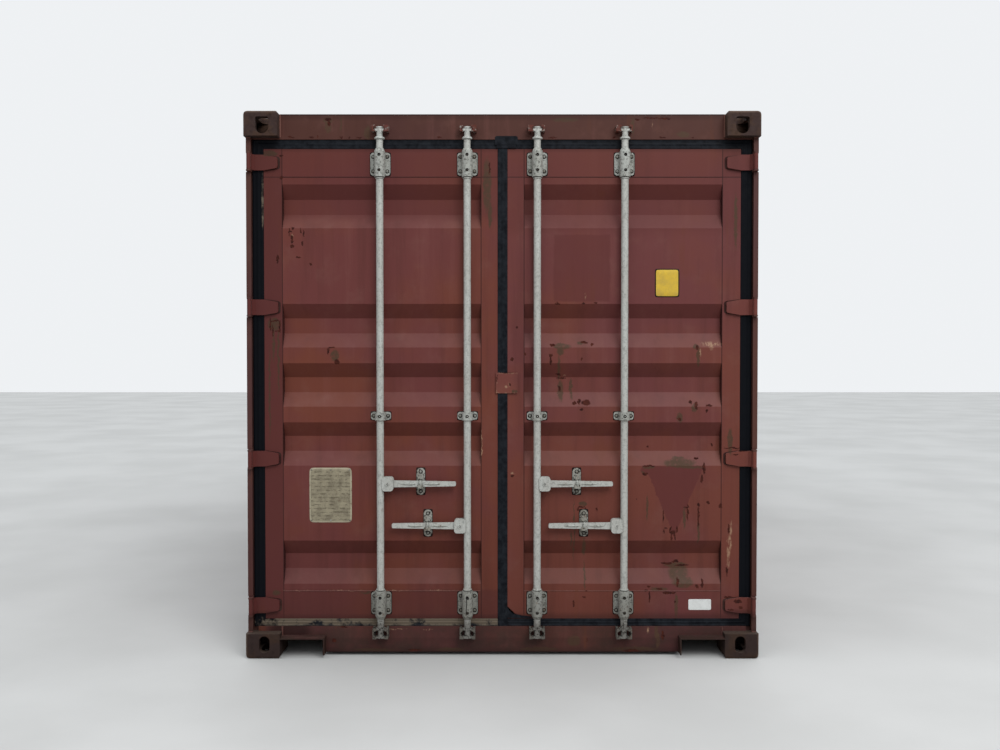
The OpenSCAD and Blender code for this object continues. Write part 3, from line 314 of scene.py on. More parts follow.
casting_finish = finish("casting_paint", casting_group, {"Paint": linear(58, 44, 41)}, depth=0.0012)[0]
wear(["castings_door_bottom", "castings_door_top", "castings_end_bottom", "castings_end_top"], casting_finish)


# Door leaves: pressed corrugated sheet welded into a frame of rectangular tube, sprayed
# oxide red. Below the chips the paint carries brown water marks.
def on_object(tree):
    """The place of each point on the object, in metres."""
    return add(tree, "TexCoord").outputs["Object"]


def spots(tree, where, ellipses, soft=0.15):
    """The strongest of a list of soft-edged ellipses: centre x and z, half width and half height, in
    millimetres. A point's offset is divided by the half sizes, and its length is 1 on the edge."""
    total = 0.0
    for x, z, half_w, half_h in ellipses:
        off = vector(tree, "SUBTRACT", where, (x / 1000, 0.0, z / 1000))
        off = vector(tree, "MULTIPLY", off, (1000 / half_w, 0.0, 1000 / half_h))
        reach = add(tree, "VectorMath", {0: off}, operation="LENGTH").outputs["Value"]
        total = most(tree, total, ramp(tree, reach, 1.0 + soft, 1.0 - soft))
    return total


def ragged(tree, where, scale, by):
    """Coordinates shaken by noise, so that a shape drawn on them gets a torn edge."""
    noise = {"Vector": where, "Scale": scale, "Detail": 6.0, "Roughness": 0.65}
    shake = vector(tree, "SUBTRACT", add(tree, "TexNoise", noise).outputs["Color"], (0.5, 0.5, 0.5))
    return vector(tree, "ADD", where, vector(tree, "MULTIPLY", shake, (by, by, by)))


def marked(tree, look, chips, stains, scrapes):
    """Feeds a piece's own chips, brown stains and scrapes into its paint, drawn on torn coordinates,
    which it returns."""
    where = on_object(tree)
    torn = ragged(tree, ragged(tree, where, 45.0, 0.026), 140.0, 0.011)
    crust = ramp(tree, cloudy(tree, where, 75.0, 6.0, 0.7), 0.34, 0.52, 0.5, 1.0)
    thin = ramp(tree, cloudy(tree, where, 90.0, 4.0, 0.6, (1.0, 1.0, 0.3)), 0.4, 0.6)
    tree.links.new(spots(tree, torn, chips), look.inputs["Chips"])
    tree.links.new(times(tree, spots(tree, torn, stains, 0.25), crust), look.inputs["Stains"])
    tree.links.new(times(tree, spots(tree, torn, scrapes, 0.5), thin), look.inputs["Scrapes"])
    return torn


def away(tree, value, middle):
    """How far a value is from a middle, either way."""
    return calc(tree, "ABSOLUTE", calc(tree, "SUBTRACT", value, middle))


def bands(tree, value, steps):
    """The strongest of some soft steps of one value, each given as low, high and its strength."""
    return most(tree, *(ramp(tree, value, low, high, 0.0, strength) for low, high, strength in steps))


stile_seam, lock_seam, top_seam = 1.049, (-0.101, 0.104), 2.289


def lines(tree, place, lock_side):
    """A mask of the thin dark seams of a leaf: where its panel meets the hinge stile and the lock
    stile, both upright, and the top rail. It falls from 1 mm to 3 mm beside each."""
    outer = math.copysign(stile_seam, lock_side)
    seams = (("X", outer), ("X", lock_side), ("Z", top_seam))
    offs = [away(tree, place[axis], at) for axis, at in seams]
    return times(tree, most(tree, *(ramp(tree, off, 0.0032, 0.001) for off in offs)), 0.75)


def edged(tree, place, seams):
    """Painted shade along a leaf's bottom edge above the gasket, a darker band along its top edge
    and a darker lower outer corner, together with its seams."""
    outward = ramp(tree, calc(tree, "ABSOLUTE", place["X"]), 1.04, 1.09, 0.0, 0.5)
    corner = times(tree, outward, ramp(tree, place["Z"], 0.235, 0.205))
    edges = bands(tree, place["Z"], [(0.216, 0.181, 0.45), (2.4, 2.421, 0.24)])
    return most(tree, edges, corner, seams)


def lining(tree, look, shader, axis, outside):
    """Pale scuffed paint on the faces that look at the cargo: those whose normal along the axis is
    against the given outward sign."""
    grey = {"Paint": linear(150, 148, 140), "Rust": 0.25, "Grime and low shade": 0.0}
    pale = add(tree, "Group", grey, node_tree=paint_group)
    coordinates = add(tree, "TexCoord").outputs
    inward = times(tree, axes(tree, coordinates["Normal"])[axis], outside)
    streaks = ramp(tree, cloudy(tree, coordinates["Object"], 5.0, 8.0, 0.75, (1.0, 0.25, 1.0)), 0.52, 0.62)
    reached = ramp(tree, axes(tree, coordinates["Object"])["Z"], 1.7, 0.7, 0.15, 0.8)
    scuffed = times(tree, streaks, reached)
    coat = coats(tree, pale.outputs["Color"], [("scuffs", scuffed, (104, 92, 82))])
    both = blend(tree, ramp(tree, inward, -0.02, -0.06), look.outputs["Color"], coat)
    tree.links.new(both, shader.inputs["Base Color"])


left_chips = [
    (-997, 2047, 8, 6), (-1003, 1995, 6, 22), (-1000, 1962, 8, 8), (-947, 2021, 4, 20), (-953, 1974, 5, 12),
    (-1016, 2024, 3, 22), (-961, 2034, 3, 14), (-1008, 2030, 8, 3), (-1074, 1890, 4, 14),
    (-1071, 1906, 7, 12), (-972, 1909, 16, 4), (-913, 1874, 7, 7), (-832, 1462, 5, 16), (-815, 1478, 20, 4),
    (-790, 1412, 12, 14), (-1108, 1588, 4, 34), (-1088, 1606, 26, 4), (-1062, 1578, 4, 30),
    (-1074, 1556, 14, 3), (-1052, 2286, 6, 8), (-1096, 1560, 3, 30), (-1052, 2392, 8, 5), (-60, 2330, 3, 30),
]
left_stains = [
    (-1090, 1590, 30, 30), (-1092, 1500, 5, 90), (-800, 1440, 20, 26), (-1110, 2400, 40, 14),
    (-1112, 1250, 4, 220), (-72, 2250, 20, 120), (-58, 2110, 9, 60), (-1070, 1420, 4, 160),
    (-640, 300, 40, 5), (-1085, 300, 20, 12),
]
left_scrapes = [
    (-1000, 2012, 4, 8), (-100, 1010, 3, 60), (-990, 312, 60, 2), (-760, 311, 80, 2), (-520, 311, 60, 2),
    (-300, 312, 60, 2),
]
left_paint, tree, look, shader = finish(
    "left_leaf_paint", paint_group, {"Paint": linear(101, 52, 45), "Rust": 0.25, "Grime and low shade": 0.75})
marked(tree, look, left_chips, left_stains, left_scrapes)
place = axes(tree, on_object(tree))
# Painted shade on this leaf: a darker low rail and hinge stile join its seams, and its top from about 2.1 m
# up, its low rail and its hinge stile are darkened through the unfaded input.
low_rail_shade = ramp(tree, place["Z"], 0.325, 0.305, 0.0, 0.18)
hinge_stile_shade = ramp(tree, place["X"], -1.046, -1.052, 0.0, 0.12)
seams_and_shade = most(tree, low_rail_shade, hinge_stile_shade, lines(tree, place, lock_seam[0]))
tree.links.new(edged(tree, place, seams_and_shade), look.inputs["Seams and dark bands"])
rails = bands(tree, place["Z"], [(2.286, 2.292, 0.85), (2.06, 2.12, 0.65), (0.325, 0.305, 0.4)])
stile = ramp(tree, place["X"], -1.046, -1.052, 0.0, 0.95)
tree.links.new(most(tree, rails, stile), look.inputs["Unfaded and shade"])
lining(tree, look, shader, "Y", -1.0)
wear(["left_door_stiles", "left_door_rails", "left_door_panel", "left_hinge_blades"], left_paint)

right_chips = [
    (232, 1440, 7, 10), (232, 1416, 5, 22), (240, 1490, 12, 8), (392, 1502, 18, 5), (430, 1492, 9, 5),
    (382, 1425, 5, 8), (268, 1350, 14, 5), (284, 1332, 24, 4), (275, 1280, 6, 14), (346, 1212, 10, 8),
    (368, 1218, 8, 14), (400, 1214, 20, 14), (378, 1182, 9, 8), (930, 1478, 6, 10), (902, 1218, 6, 10),
    (928, 1200, 9, 18), (978, 1178, 6, 9), (990, 1200, 16, 4), (70, 1575, 6, 6), (48, 1422, 8, 9),
    (110, 1447, 5, 7), (262, 1688, 12, 5), (386, 1688, 9, 6), (445, 1690, 8, 4), (700, 910, 30, 5),
    (684, 872, 14, 7), (966, 900, 6, 28), (956, 850, 5, 18), (930, 945, 12, 7), (818, 590, 12, 9),
    (806, 604, 5, 15), (838, 606, 5, 17), (812, 572, 4, 16), (828, 572, 4, 18), (774, 596, 4, 12),
    (783, 612, 8, 3), (940, 726, 7, 10), (940, 665, 4, 52), (888, 690, 4, 40), (772, 668, 3, 30),
    (882, 712, 14, 3), (987, 735, 7, 8), (1047, 719, 8, 12), (790, 436, 22, 6), (836, 446, 16, 5),
    (868, 426, 34, 5), (800, 436, 20, 6), (705, 332, 8, 5), (690, 312, 10, 6), (755, 318, 16, 6),
    (800, 302, 34, 5), (935, 330, 10, 8), (960, 345, 6, 22), (842, 350, 5, 24), (705, 280, 4, 28),
    (830, 257, 5, 5), (1128, 262, 20, 9), (1086, 278, 22, 4), (1096, 222, 16, 4), (1142, 232, 9, 6),
    (1100, 996, 40, 3), (1150, 984, 22, 4), (1112, 966, 12, 3), (379, 713, 16, 4), (362, 703, 5, 9),
    (399, 701, 5, 10), (452, 703, 6, 7), (50, 862, 8, 6), (342, 250, 5, 16), (392, 278, 8, 5),
    (1085, 610, 5, 24), (1078, 400, 6, 22), (700, 1000, 5, 5), (848, 1136, 8, 9), (1010, 1010, 5, 8),
]
right_stains = [
    (285, 1484, 40, 14), (276, 1462, 16, 22), (272, 1380, 7, 60), (280, 1270, 14, 50), (925, 1482, 14, 10),
    (938, 1430, 7, 46), (850, 924, 74, 20), (845, 944, 30, 12), (872, 660, 7, 50), (848, 395, 46, 40),
    (866, 350, 50, 26), (838, 428, 52, 13), (836, 240, 9, 60), (750, 318, 40, 9), (940, 600, 6, 60),
    (330, 1280, 8, 50), (378, 1500, 20, 8), (1090, 1030, 12, 60), (850, 1142, 15, 22), (918, 1190, 12, 20),
    (695, 712, 5, 60), (1112, 2080, 8, 120), (700, 905, 30, 8), (674, 880, 6, 5), (905, 905, 60, 6),
    (393, 520, 8, 46), (396, 380, 4, 70), (344, 600, 3, 150), (386, 730, 20, 12), (330, 560, 4, 40),
]
right_scrapes = [
    (996, 1496, 44, 10), (1000, 1484, 10, 14), (1085, 500, 8, 70), (1098, 610, 3, 34), (398, 1724, 3, 12),
    (52, 876, 10, 4), (946, 1445, 3, 24), (300, 1345, 6, 3), (1094, 560, 6, 60),
]
right_paint, tree, look, shader = finish(
    "right_leaf_paint", paint_group, {"Paint": linear(101, 53, 48), "Rust": 0.35, "Grime and low shade": 0.55})
torn = marked(tree, look, right_chips, right_stains, right_scrapes)

# Two areas of unfaded paint on this leaf: a wedge, whose half width grows by a share of the
# height above its tip, with a blot at its left corner, and a soft square near the top.
wedge_x, wedge_tip, wedge_top = 0.824, 0.62, 0.911
square_x, square_z, square_half_width, square_half_height = 0.38, 1.857, 0.135, 0.16
place = axes(tree, torn)
half = calc(tree, "MULTIPLY_ADD", calc(tree, "SUBTRACT", place["Z"], wedge_tip), 0.41, 0.021)
within = ramp(tree, calc(tree, "SUBTRACT", half, away(tree, place["X"], wedge_x)), -0.002, 0.003)
wedge = times(tree, within, ramp(tree, place["Z"], wedge_top + 0.003, wedge_top - 0.003))
blot = spots(tree, torn, [(690, 892, 27, 24)])
where = on_object(tree)
place = axes(tree, ragged(tree, where, 12.0, 0.02))
wide = calc(tree, "SUBTRACT", square_half_width, away(tree, place["X"], square_x))
tall = calc(tree, "SUBTRACT", square_half_height, away(tree, place["Z"], square_z))
square = times(tree, ramp(tree, calc(tree, "MINIMUM", wide, tall), -0.006, 0.008), 0.75)
place = axes(tree, where)
tree.links.new(edged(tree, place, lines(tree, place, lock_seam[1])), look.inputs["Seams and dark bands"])
# Painted shade through the unfaded input: the leaf darkens from about 2 m up, most on its top rail.
rails = bands(tree, place["Z"], [(2.286, 2.292, 0.6), (1.99, 2.06, 0.5)])
tree.links.new(most(tree, wedge, blot, square, rails), look.inputs["Unfaded and shade"])
lining(tree, look, shader, "Y", -1.0)
wear(["right_door_stiles", "right_door_rails", "right_door_panel", "right_hinge_blades"], right_paint)

plate_paint, tree, look, _ = finish(
    "centre_plate_paint", paint_group, {"Paint": linear(104, 56, 50), "Rust": 0.7, "Grime and low shade": 0.3})
plate_chips = [(20, 1357, 30, 3), (-26, 1330, 3, 16), (36, 1302, 4, 9)]
plate_scrapes = [(24, 1356, 46, 3), (-27, 1310, 2, 44), (30, 1308, 5, 7), (24, 1292, 9, 5), (10, 1261, 60, 2)]
marked(tree, look, plate_chips, [(60, 1270, 14, 8)], plate_scrapes)
wear(["centre_lock_plate"], plate_paint)


# Header and sill of the door frame: welded boxes that the leaves close against. Rust starts
# along the header's lower edge, and the sill is soiled by spray off the road.
header_chips = [
    (-1004, 2476, 14, 4), (-907, 2475, 12, 4), (-876, 2477, 4, 6), (-766, 2474, 6, 5), (-727, 2475, 4, 4),
    (-680, 2474, 14, 4), (-300, 2476, 10, 3), (240, 2475, 20, 3), (530, 2476, 8, 4), (760, 2475, 16, 3),
    (905, 2476, 6, 5), (-828, 2560, 15, 8), (-822, 2540, 7, 12), (705, 2566, 40, 3), (770, 2563, 30, 4),
    (640, 2560, 12, 4),
]
header_stains = [
    (-828, 2556, 21, 17), (-828, 2530, 14, 30), (-766, 2540, 5, 34), (-640, 2500, 14, 30),
    (300, 2560, 60, 10), (620, 2530, 8, 40), (860, 2490, 30, 14),
]
header_paint, tree, look, _ = finish(
    "header_paint", paint_group, {"Paint": linear(73, 43, 39), "Rust": 0.6, "Grime and low shade": 0.3})
marked(tree, look, header_chips, header_stains, [(712, 2540, 2, 16)])
# The header goes darker towards its top edge.
upper = bands(tree, axes(tree, on_object(tree))["Z"], [(2.573, 2.581, 0.75), (2.55, 2.57, 0.3)])
tree.links.new(upper, look.inputs["Seams and dark bands"])
wear(["door_header"], header_paint)

sill_chips = [
    (-760, 136, 20, 4), (-420, 24, 30, 6), (130, 137, 12, 4), (620, 22, 40, 6), (770, 96, 8, 22),
    (-806, 70, 12, 10),
]
sill_stains = [
    (345, 69, 31, 24), (-620, 26, 90, 8), (-250, 28, 60, 9), (180, 30, 90, 9), (640, 30, 110, 10),
    (740, 110, 10, 30), (748, 70, 8, 40),
]
sill_scrapes = [(-520, 128, 50, 2), (-360, 126, 20, 3), (700, 120, 6, 12)]
sill_paint, tree, look, _ = finish(
    "sill_paint", paint_group, {"Paint": linear(81, 48, 45), "Rust": 0.8, "Grime and low shade": 0.72})
marked(tree, look, sill_chips, sill_stains, sill_scrapes)
where = on_object(tree)
# Painted shade on the sill: a dark patch at its left end, and darker bands on its lower face and along its
# foot.
corner = times(tree, spots(tree, where, [(-1020, 120, 95, 50)], 0.3), 0.75)
foot = bands(tree, axes(tree, where)["Z"], [(0.027, 0.02, 0.8), (0.09, 0.08, 0.2), (0.062, 0.024, 0.45)])
tree.links.new(most(tree, corner, foot), look.inputs["Seams and dark bands"])
wear(["door_sill"], sill_paint)
guard_paint = finish("guard_paint", paint_group, {"Paint": linear(44, 28, 26), "Rust": 0.9, "Grime and low shade": 0.9})[0]
wear(["sill_guards"], guard_paint)


# Galvanised locking gear: drawn tube rods, forged cams and handles and pressed brackets,
# all hot-dip zinc, dull grey with a faint bloom, sooty specks and dirty lower ends.
zinc_group, given, where, _ = surface(
    "galvanised", {"Zinc": (0.36, 0.38, 0.36, 1.0), "Rust": 0.2, "Specks": 0.3})
t = zinc_group
bloom = cloudy(t, where, 14.0, 5.0, 0.6, (1.0, 1.0, 0.35))
speck = cloudy(t, where, 70.0, 6.0, 0.65, (1.0, 1.0, 0.4))
level = axes(t, where)["Z"]
soot = ramp(t, cloudy(t, where, 95.0, 5.0, 0.7), 0.5, 0.62, 0.0, 0.8)
foot = ramp(t, level, 0.2, 0.15)
stain = ramp(t, cloudy(t, where, 33.0, 7.0, 0.7), 0.6, 0.7)
colour = coats(t, given["Zinc"], [
    ("bloom", ramp(t, bloom, 0.38, 0.66, 0.0, 0.4), (190, 194, 190)),
    ("grey specks", ramp(t, speck, 0.5, 0.7, 0.0, 0.36), (118, 122, 116)),
    ("road film", times(t, ramp(t, level, 0.42, 0.2, 0.0, 0.6), given["Specks"]), (86, 80, 70)),
    ("dirty foot", times(t, foot, 0.65), (76, 70, 65)),
    ("soot", times(t, soot, calc(t, "ADD", given["Specks"], foot)), (52, 49, 45)),
    ("rust", times(t, stain, given["Rust"]), (96, 66, 46)),
])
relief = calc(t, "ADD", bloom, times(t, speck, 0.4))
complete(t, colour, ramp(t, speck, 0.3, 0.7, 0.5, 0.68), relief)


def dipped(name, grey, rust, specks, metallic=0.1, depth=0.0008):
    """A zinc finish of this grey, given as 0 to 255 on a screen."""
    return finish(name, zinc_group, {"Zinc": linear(*grey), "Rust": rust, "Specks": specks}, metallic, depth)


zinc = dipped("galvanised_steel", (174, 174, 168), 0.4, 0.35, metallic=0.2, depth=0.0006)[0]
bracket_zinc = dipped("dull_zinc", (156, 157, 150), 0.7, 0.8, metallic=0.15)[0]
catch_zinc = dipped("sooty_zinc", (132, 128, 118), 1.0, 1.5)[0]
wear([name for name in cad if name.startswith(("lock_rod", "handle_"))], zinc)
wear([name for name in cad if "bracket" in name], bracket_zinc)
wear([name for name in cad if "retainer" in name], catch_zinc)


# Cam keepers: forged hooks on the header and the sill that hold the ends of the rods. The
# upper ones were sprayed red with the header, and the paint is partly gone.
keepers, tree, look, shader = dipped("keeper_finish", (140, 138, 128), 0.8, 1.0, depth=0.001)
painted = add(tree, "Group", {"Paint": linear(84, 44, 40), "Rust": 0.9, "Grime and low shade": 0.2}, node_tree=paint_group)
where = on_object(tree)
worn = ramp(tree, cloudy(tree, where, 40.0, 5.0, 0.65), 0.5, 0.6, 1.0, 0.35)
high = times(tree, ramp(tree, axes(tree, where)["Z"], 2.4, 2.41), worn)
both = blend(tree, high, look.outputs["Color"], painted.outputs["Color"])
tree.links.new(both, shader.inputs["Base Color"])
wear(["cam_keepers"], keepers)


# Door gaskets: black extruded rubber, ribbed along its front, held in the gap round each
# leaf and lapping over the door frame. The right leaf's gasket also covers the middle gap.
rubber_group, given, where, _ = surface(
    "aged_rubber", {"Rubber": (0.01, 0.012, 0.015, 1.0), "Dirt": 0.2, "Bloom and sheen": 0.1})
t = rubber_group
grain = cloudy(t, where, 30.0, 6.0, 0.65)
soil = ramp(t, cloudy(t, where, 12.0, 7.0, 0.7), 0.4, 0.65)
colour = coats(t, given["Rubber"], [
    # Grey bloom of old rubber, partly a painted sheen.
    ("grey bloom and painted sheen", times(t, ramp(t, grain, 0.3, 0.7), given["Bloom and sheen"]), (38, 41, 46)),
    ("dirt", times(t, soil, given["Dirt"]), (96, 86, 74)),
])
complete(t, colour, ramp(t, grain, 0.3, 0.7, 0.4, 0.7), grain)
rubbers = []
for name, strength in (("gasket_rubber", 0.0), ("soiled_rubber", 3.0)):
    made, tree, look, _ = finish(name, rubber_group, {"Rubber": linear(10, 12, 17)}, depth=0.0006, gloss=0.06)
    where = on_object(tree)
    place = axes(tree, where)
    dirt = ramp(tree, place["Z"], 0.19, 0.175, 0.0, strength)
    dirt = times(tree, dirt, ramp(tree, place["Z"], 0.144, 0.158, 0.3, 1.0))
    if strength:
        streak = spots(tree, ragged(tree, where, 30.0, 0.012), [(-1141, 2180, 6, 128)], 0.2)
        dirt = most(tree, dirt, times(tree, streak, 2.0))
    tree.links.new(dirt, look.inputs["Dirt"])
    # Bloom and painted sheen on the middle and top gaskets; the side gaskets get none and stay darker.
    tree.links.new(ramp(tree, calc(tree, "ABSOLUTE", place["X"]), 1.1, 1.05, 0.0, 0.75), look.inputs["Bloom and sheen"])
    rubbers.append(made)
rubber, soiled = rubbers


def piece(name, blocks, material, body):
    """Joins closed shells into one mesh. A block is an array of copies, rows, columns and x y z in
    millimetres: columns close on themselves, and its first and last rows shrink to their centres."""
    points, faces, start = [], [], 0
    for block in blocks:
        block = np.asarray(block, float)
        ends = block.mean(axis=2, keepdims=True)
        block = np.concatenate([np.broadcast_to(ends[:, :1], block[:, :1].shape), block,
                                np.broadcast_to(ends[:, -1:], block[:, -1:].shape)], axis=1)
        copies, rows, columns, _ = block.shape
        index = np.arange(copies * rows * columns).reshape(copies, rows, columns) + start
        ahead = np.roll(index, -1, axis=2)
        quads = np.stack([index[:, :-1], ahead[:, :-1], ahead[:, 1:], index[:, 1:]], axis=-1)
        points.append(block.reshape(-1, 3) / 1000)
        faces.append(quads.reshape(-1, 4))
        start += copies * rows * columns
    mesh = bpy.data.meshes.new(name)
    mesh.from_pydata(np.concatenate(points), [], np.concatenate(faces))
    shape = bmesh.new()
    shape.from_mesh(mesh)
    bmesh.ops.remove_doubles(shape, verts=shape.verts, dist=1e-6)
    bmesh.ops.recalc_face_normals(shape, faces=shape.faces)
    shape.to_mesh(mesh)
    shape.free()
    mesh.shade_smooth()
    sharp_from = math.radians(35.0)
    mesh.set_sharp_from_angle(angle=sharp_from)
    mesh.materials.append(material)
    made = bpy.data.objects.new(name, mesh)
    scene.collection.objects.link(made)
    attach(made, body)
    return made


# The plane of the door end, in millimetres. Depths on the doors are measured inwards from it.
door_end = cad_box[0].y * 1000


def seal(start, end, outward, width, mitres, shift=0.0, body_only=False):
    """A gasket bar: its profile of outward reach and depth is carried from start to end (x, z), the
    ends slide along the bar in step with the reach to make mitres, and the line waves by a millimetre."""
    if body_only:
        reach = [0.0, 0.1, 0.9, 1.0, 1.0, 0.9, 0.0]
        depth = [66.0, 64.6, 64.6, 67.0, 105.0, 109.0, 111.0]
    else:
        reach = [0.0, 0.03, 0.12, 0.2, 0.3, 0.42, 0.5, 0.58, 0.7, 0.82, 0.94, 1.0, 0.98, 0.75, 0.62,
                 0.62, 0.0]
        depth = [64.0, 61.0, 60.0, 60.3, 61.6, 60.0, 59.2, 60.0, 61.6, 60.2, 59.6, 60.8, 63.4, 64.0, 66.0,
                 108.0, 111.0]
    reach = np.array(reach)[None] * width
    depth = np.array(depth)[None]
    start, end, outward = (np.array(v, float) for v in (start, end, outward))
    length = np.linalg.norm(end - start)
    along = (end - start) / length
    share = np.linspace(0.0, 1.0, max(int(length / 30), 2))[:, None]
    slide = length * share + reach / width * (mitres[1] * share - mitres[0] * (1 - share))
    wave = np.sin(slide / 61.0) * 0.5 + np.sin(slide / 23.0) * 0.3
    out = reach + wave * 0.6 * (reach > 0.2 * width) * (reach < 0.9 * width)
    x = start[0] + along[0] * slide + outward[0] * out
    z = start[1] + along[1] * slide + outward[1] * out
    y = door_end + depth + shift + wave * 0.5 * (depth < 64.2)
    return np.stack([x, np.broadcast_to(y, x.shape), z], axis=-1)[None]


outer, low, top = 1136.0, 177.0, 2422.0
outer_width, top_width, low_width, middle_width = 53.0, 43.7, 35.7, 46.6
for side, name, inner in ((-1, "left", 22.0), (1, "right", 25.0)):
    bars = [
        seal((side * outer, low), (side * outer, top), (side, 0), outer_width, (36.0, top_width)),
        seal((side * outer, top), (side * inner, top), (0, 1), top_width, (outer_width, 0.0)),
        seal((side * inner, low), (side * outer, low), (0, -1), low_width, (0.0, outer_width)),
    ]
    if side > 0:
        middle = (inner, low - 35.6), (inner, top + 43.6)
        bars.append(seal(*middle, (-1, 0), middle_width, (0.0, 0.0), shift=-1.2))
    else:
        bars.append(seal((-inner, low), (-inner, top), (1, 0), 22.0, (0.0, 0.0), body_only=True))
    coat = rubber if side > 0 else soiled
    made = piece(name + "_gasket_profile", bars, coat, name + "_leaf")
    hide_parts(name + "_door_gasket")


# Corners of the right leaf's gasket at the middle gap: at the top a moulded block whose lip
# laps over the header, and at the bottom a torn fold of rubber that lies on the leaf.
def slab(outline, front, back):
    """A flat closed sheet from an outline of (x, z) points seen from outside, between two depths."""
    x, z = np.array(outline, float).T
    rings = [np.stack([x, np.full_like(x, door_end + deep), z], axis=-1) for deep in (back, front)]
    return np.stack(rings)[None]


corner_lip = [(-35, 2441), (73, 2441), (73, 2478), (66, 2482), (-28, 2482), (-35, 2476)]
corner_body = [(-28, 2426), (66, 2426), (66, 2461), (-28, 2461)]
fold = [(24, 236), (33, 217), (50, 203), (88, 193), (140, 186), (140, 180), (88, 180), (60, 180), (40, 180),
        (24, 180)]
layers = [slab(corner_lip, 52.8, 54.6), slab(corner_body, 54.4, 58.6), slab(fold, 58.4, 61.7)]
piece("right_gasket_corners", layers, rubber, "right_leaf")


# Bolts of the rod brackets: dome-headed, four in each long bracket and two in each short
# one. They are dirty zinc with rust, and each stands on a washer black with old grease,
# whose dark ring is partly a painted shadow round the head.
def turned(profile, centres):
    """A profile of radius and height turned round an axis that points out of the doors, and
    copied to each centre: the angle runs round it, and the height is taken off the depth."""
    sides = 12
    profile = np.array(profile, float)
    radius, height = profile[:, :1], profile[:, 1:]
    angle = np.arange(sides) / sides * 2 * np.pi
    outwards = np.broadcast_to(-height, (len(profile), sides))
    ring = np.stack([np.cos(angle)[None] * radius, outwards, np.sin(angle)[None] * radius], axis=-1)
    return np.array(centres, float)[:, None, None] + ring[None]


def thin_skin(name, tint, dirt):
    """A thin dull skin in this colour, given as 0 to 255 on a screen, for grease and dirt and for painted
    shadow.
    """
    return finish(name, rubber_group, {"Rubber": linear(*tint), "Dirt": dirt}, depth=0.0004, gloss=0.05)[0]


old_bolt = dipped("old_bolts", (118, 114, 104), 0.9, 1.0, depth=0.0005)[0]
grease = thin_skin("hardened_grease", (16, 13, 12), 0.15)
dome = [(6.6, 0.0), (6.6, 2.2), (5.8, 4.0), (4.0, 5.2), (2.0, 5.6)]
washer = [(10.0, 0.0), (10.0, 0.8), (9.2, 1.3), (6.0, 1.3)]
rod_places = {"left": (-166.0, -580.0), "right": (166.0, 580.0)}
long_brackets, short_bracket = (253.5, 2349.5), 1152.0
plate_depth = door_end + 56.0
for name, rods in rod_places.items():
    bolts = [(x + dx, plate_depth, z + dz)
             for x in rods for z in long_brackets for dx in (-33.0, 33.0) for dz in (-34.5, 34.5)]
    bolts += [(x + dx, plate_depth, short_bracket) for x in rods for dx in (-34.5, 34.5)]
    piece(name + "_bracket_bolts", [turned(dome, bolts)], old_bolt, name + "_leaf")
    piece(name + "_bracket_washers", [turned(washer, bolts)], grease, name + "_leaf")


# Grease holes in the fronts of the bracket barrels, and the ring of old grease pressed out
# where a rod leaves its barrel.
def upright(profile, centres):
    """A profile of radius and height turned round an upright axis and copied to each centre: the
    angle runs round it, and the height is added to the centre's own."""
    sides = 20
    profile = np.array(profile, float)
    radius, height = profile[:, :1], profile[:, 1:]
    angle = np.arange(sides) / sides * 2 * np.pi
    upwards = np.broadcast_to(height, (len(profile), sides))
    ring = np.stack([np.cos(angle)[None] * radius, np.sin(angle)[None] * radius, upwards], axis=-1)
    return np.array(centres, float)[:, None, None] + ring[None]


rod_depth = door_end + 29.0
barrel_front = rod_depth - 25.4
cap = [(7.6, -2.5), (7.6, 0.3), (6.8, 0.7), (5.6, 0.2), (2.0, -0.2)]
mouth = [(16.6, -1.3), (20.6, -1.0), (20.6, 1.0), (16.6, 1.3)]
for name, rods in rod_places.items():
    caps = [(x, barrel_front, z + dz) for x in rods for z in long_brackets for dz in (-36.0, 36.0)]
    caps += [(x, barrel_front, short_bracket) for x in rods]
    mouths = [(x, rod_depth, z) for x in rods for z in (320.2, 2282.8)]
    shells = [turned(cap, caps), upright(mouth, mouths)]
    piece(name + "_grease", shells, grease, name + "_leaf")


# Stop rings on the rods beside the barrels, and the dimpled ends of the handle pins in their
# hubs: both are part of the rod and turn with it.
collar = [(16.5, -3.0), (20.4, -2.5), (21.2, 0.0), (20.4, 2.5), (16.5, 3.0)]
dimple = [(4.8, -1.0), (4.8, 0.3), (3.9, 0.5), (2.6, -0.2)]
pin_depth = door_end + 6.0
hubs = {"left_outer": (-580.0, -544.5, 830.0), "left_inner": (-166.0, -201.5, 630.0),
        "right_inner": (166.0, 201.5, 830.0), "right_outer": (580.0, 544.5, 630.0)}
for name, (x, pin_x, hub_z) in hubs.items():
    rings = upright(collar, [(x, rod_depth, z) for z in (325.0, 2277.4)])
    pin_end = turned(dimple, [(pin_x, pin_depth, hub_z)])
    piece(name + "_stop_rings", [rings], zinc, "rod_" + name)
    piece(name + "_pin_dimple", [pin_end], grease, "rod_" + name)


# Round bars: a run of grease down the front of one bracket, the rolled rims of the long
# bracket plates, and the stiffening ribs and the seal lug forged on the fronts of the handles.
def bead(start, end, radius, ripple=0.0, taper=0.0, sides=8):
    """A round bar from start to end (x, depth, z). Its radius swells by the ripple's share once every
    step, and follows the sine of its length to the power of the taper, so a taper of 1 is a spindle."""
    step = 8.0
    start, end = (np.array([point[0], door_end + point[1], point[2]]) for point in (start, end))
    length = np.linalg.norm(end - start)
    share = np.linspace(0.0, 1.0, max(int(length / step * 4 * (ripple > 0)), 12))[:, None]
    swell = 1 + ripple * np.sin(share * length / step * 2 * np.pi)
    size = radius * swell * np.sin(np.pi * share) ** taper
    forward = (end - start) / length
    outward = np.array([0.0, -1.0, 0.0])
    sideways = np.cross(forward, outward)
    angle = (np.arange(sides) / sides * 2 * np.pi)[:, None]
    ring = np.cos(angle) * outward + np.sin(angle) * sideways
    return ((start + share * (end - start))[:, None] + size[:, :, None] * ring[None])[None]


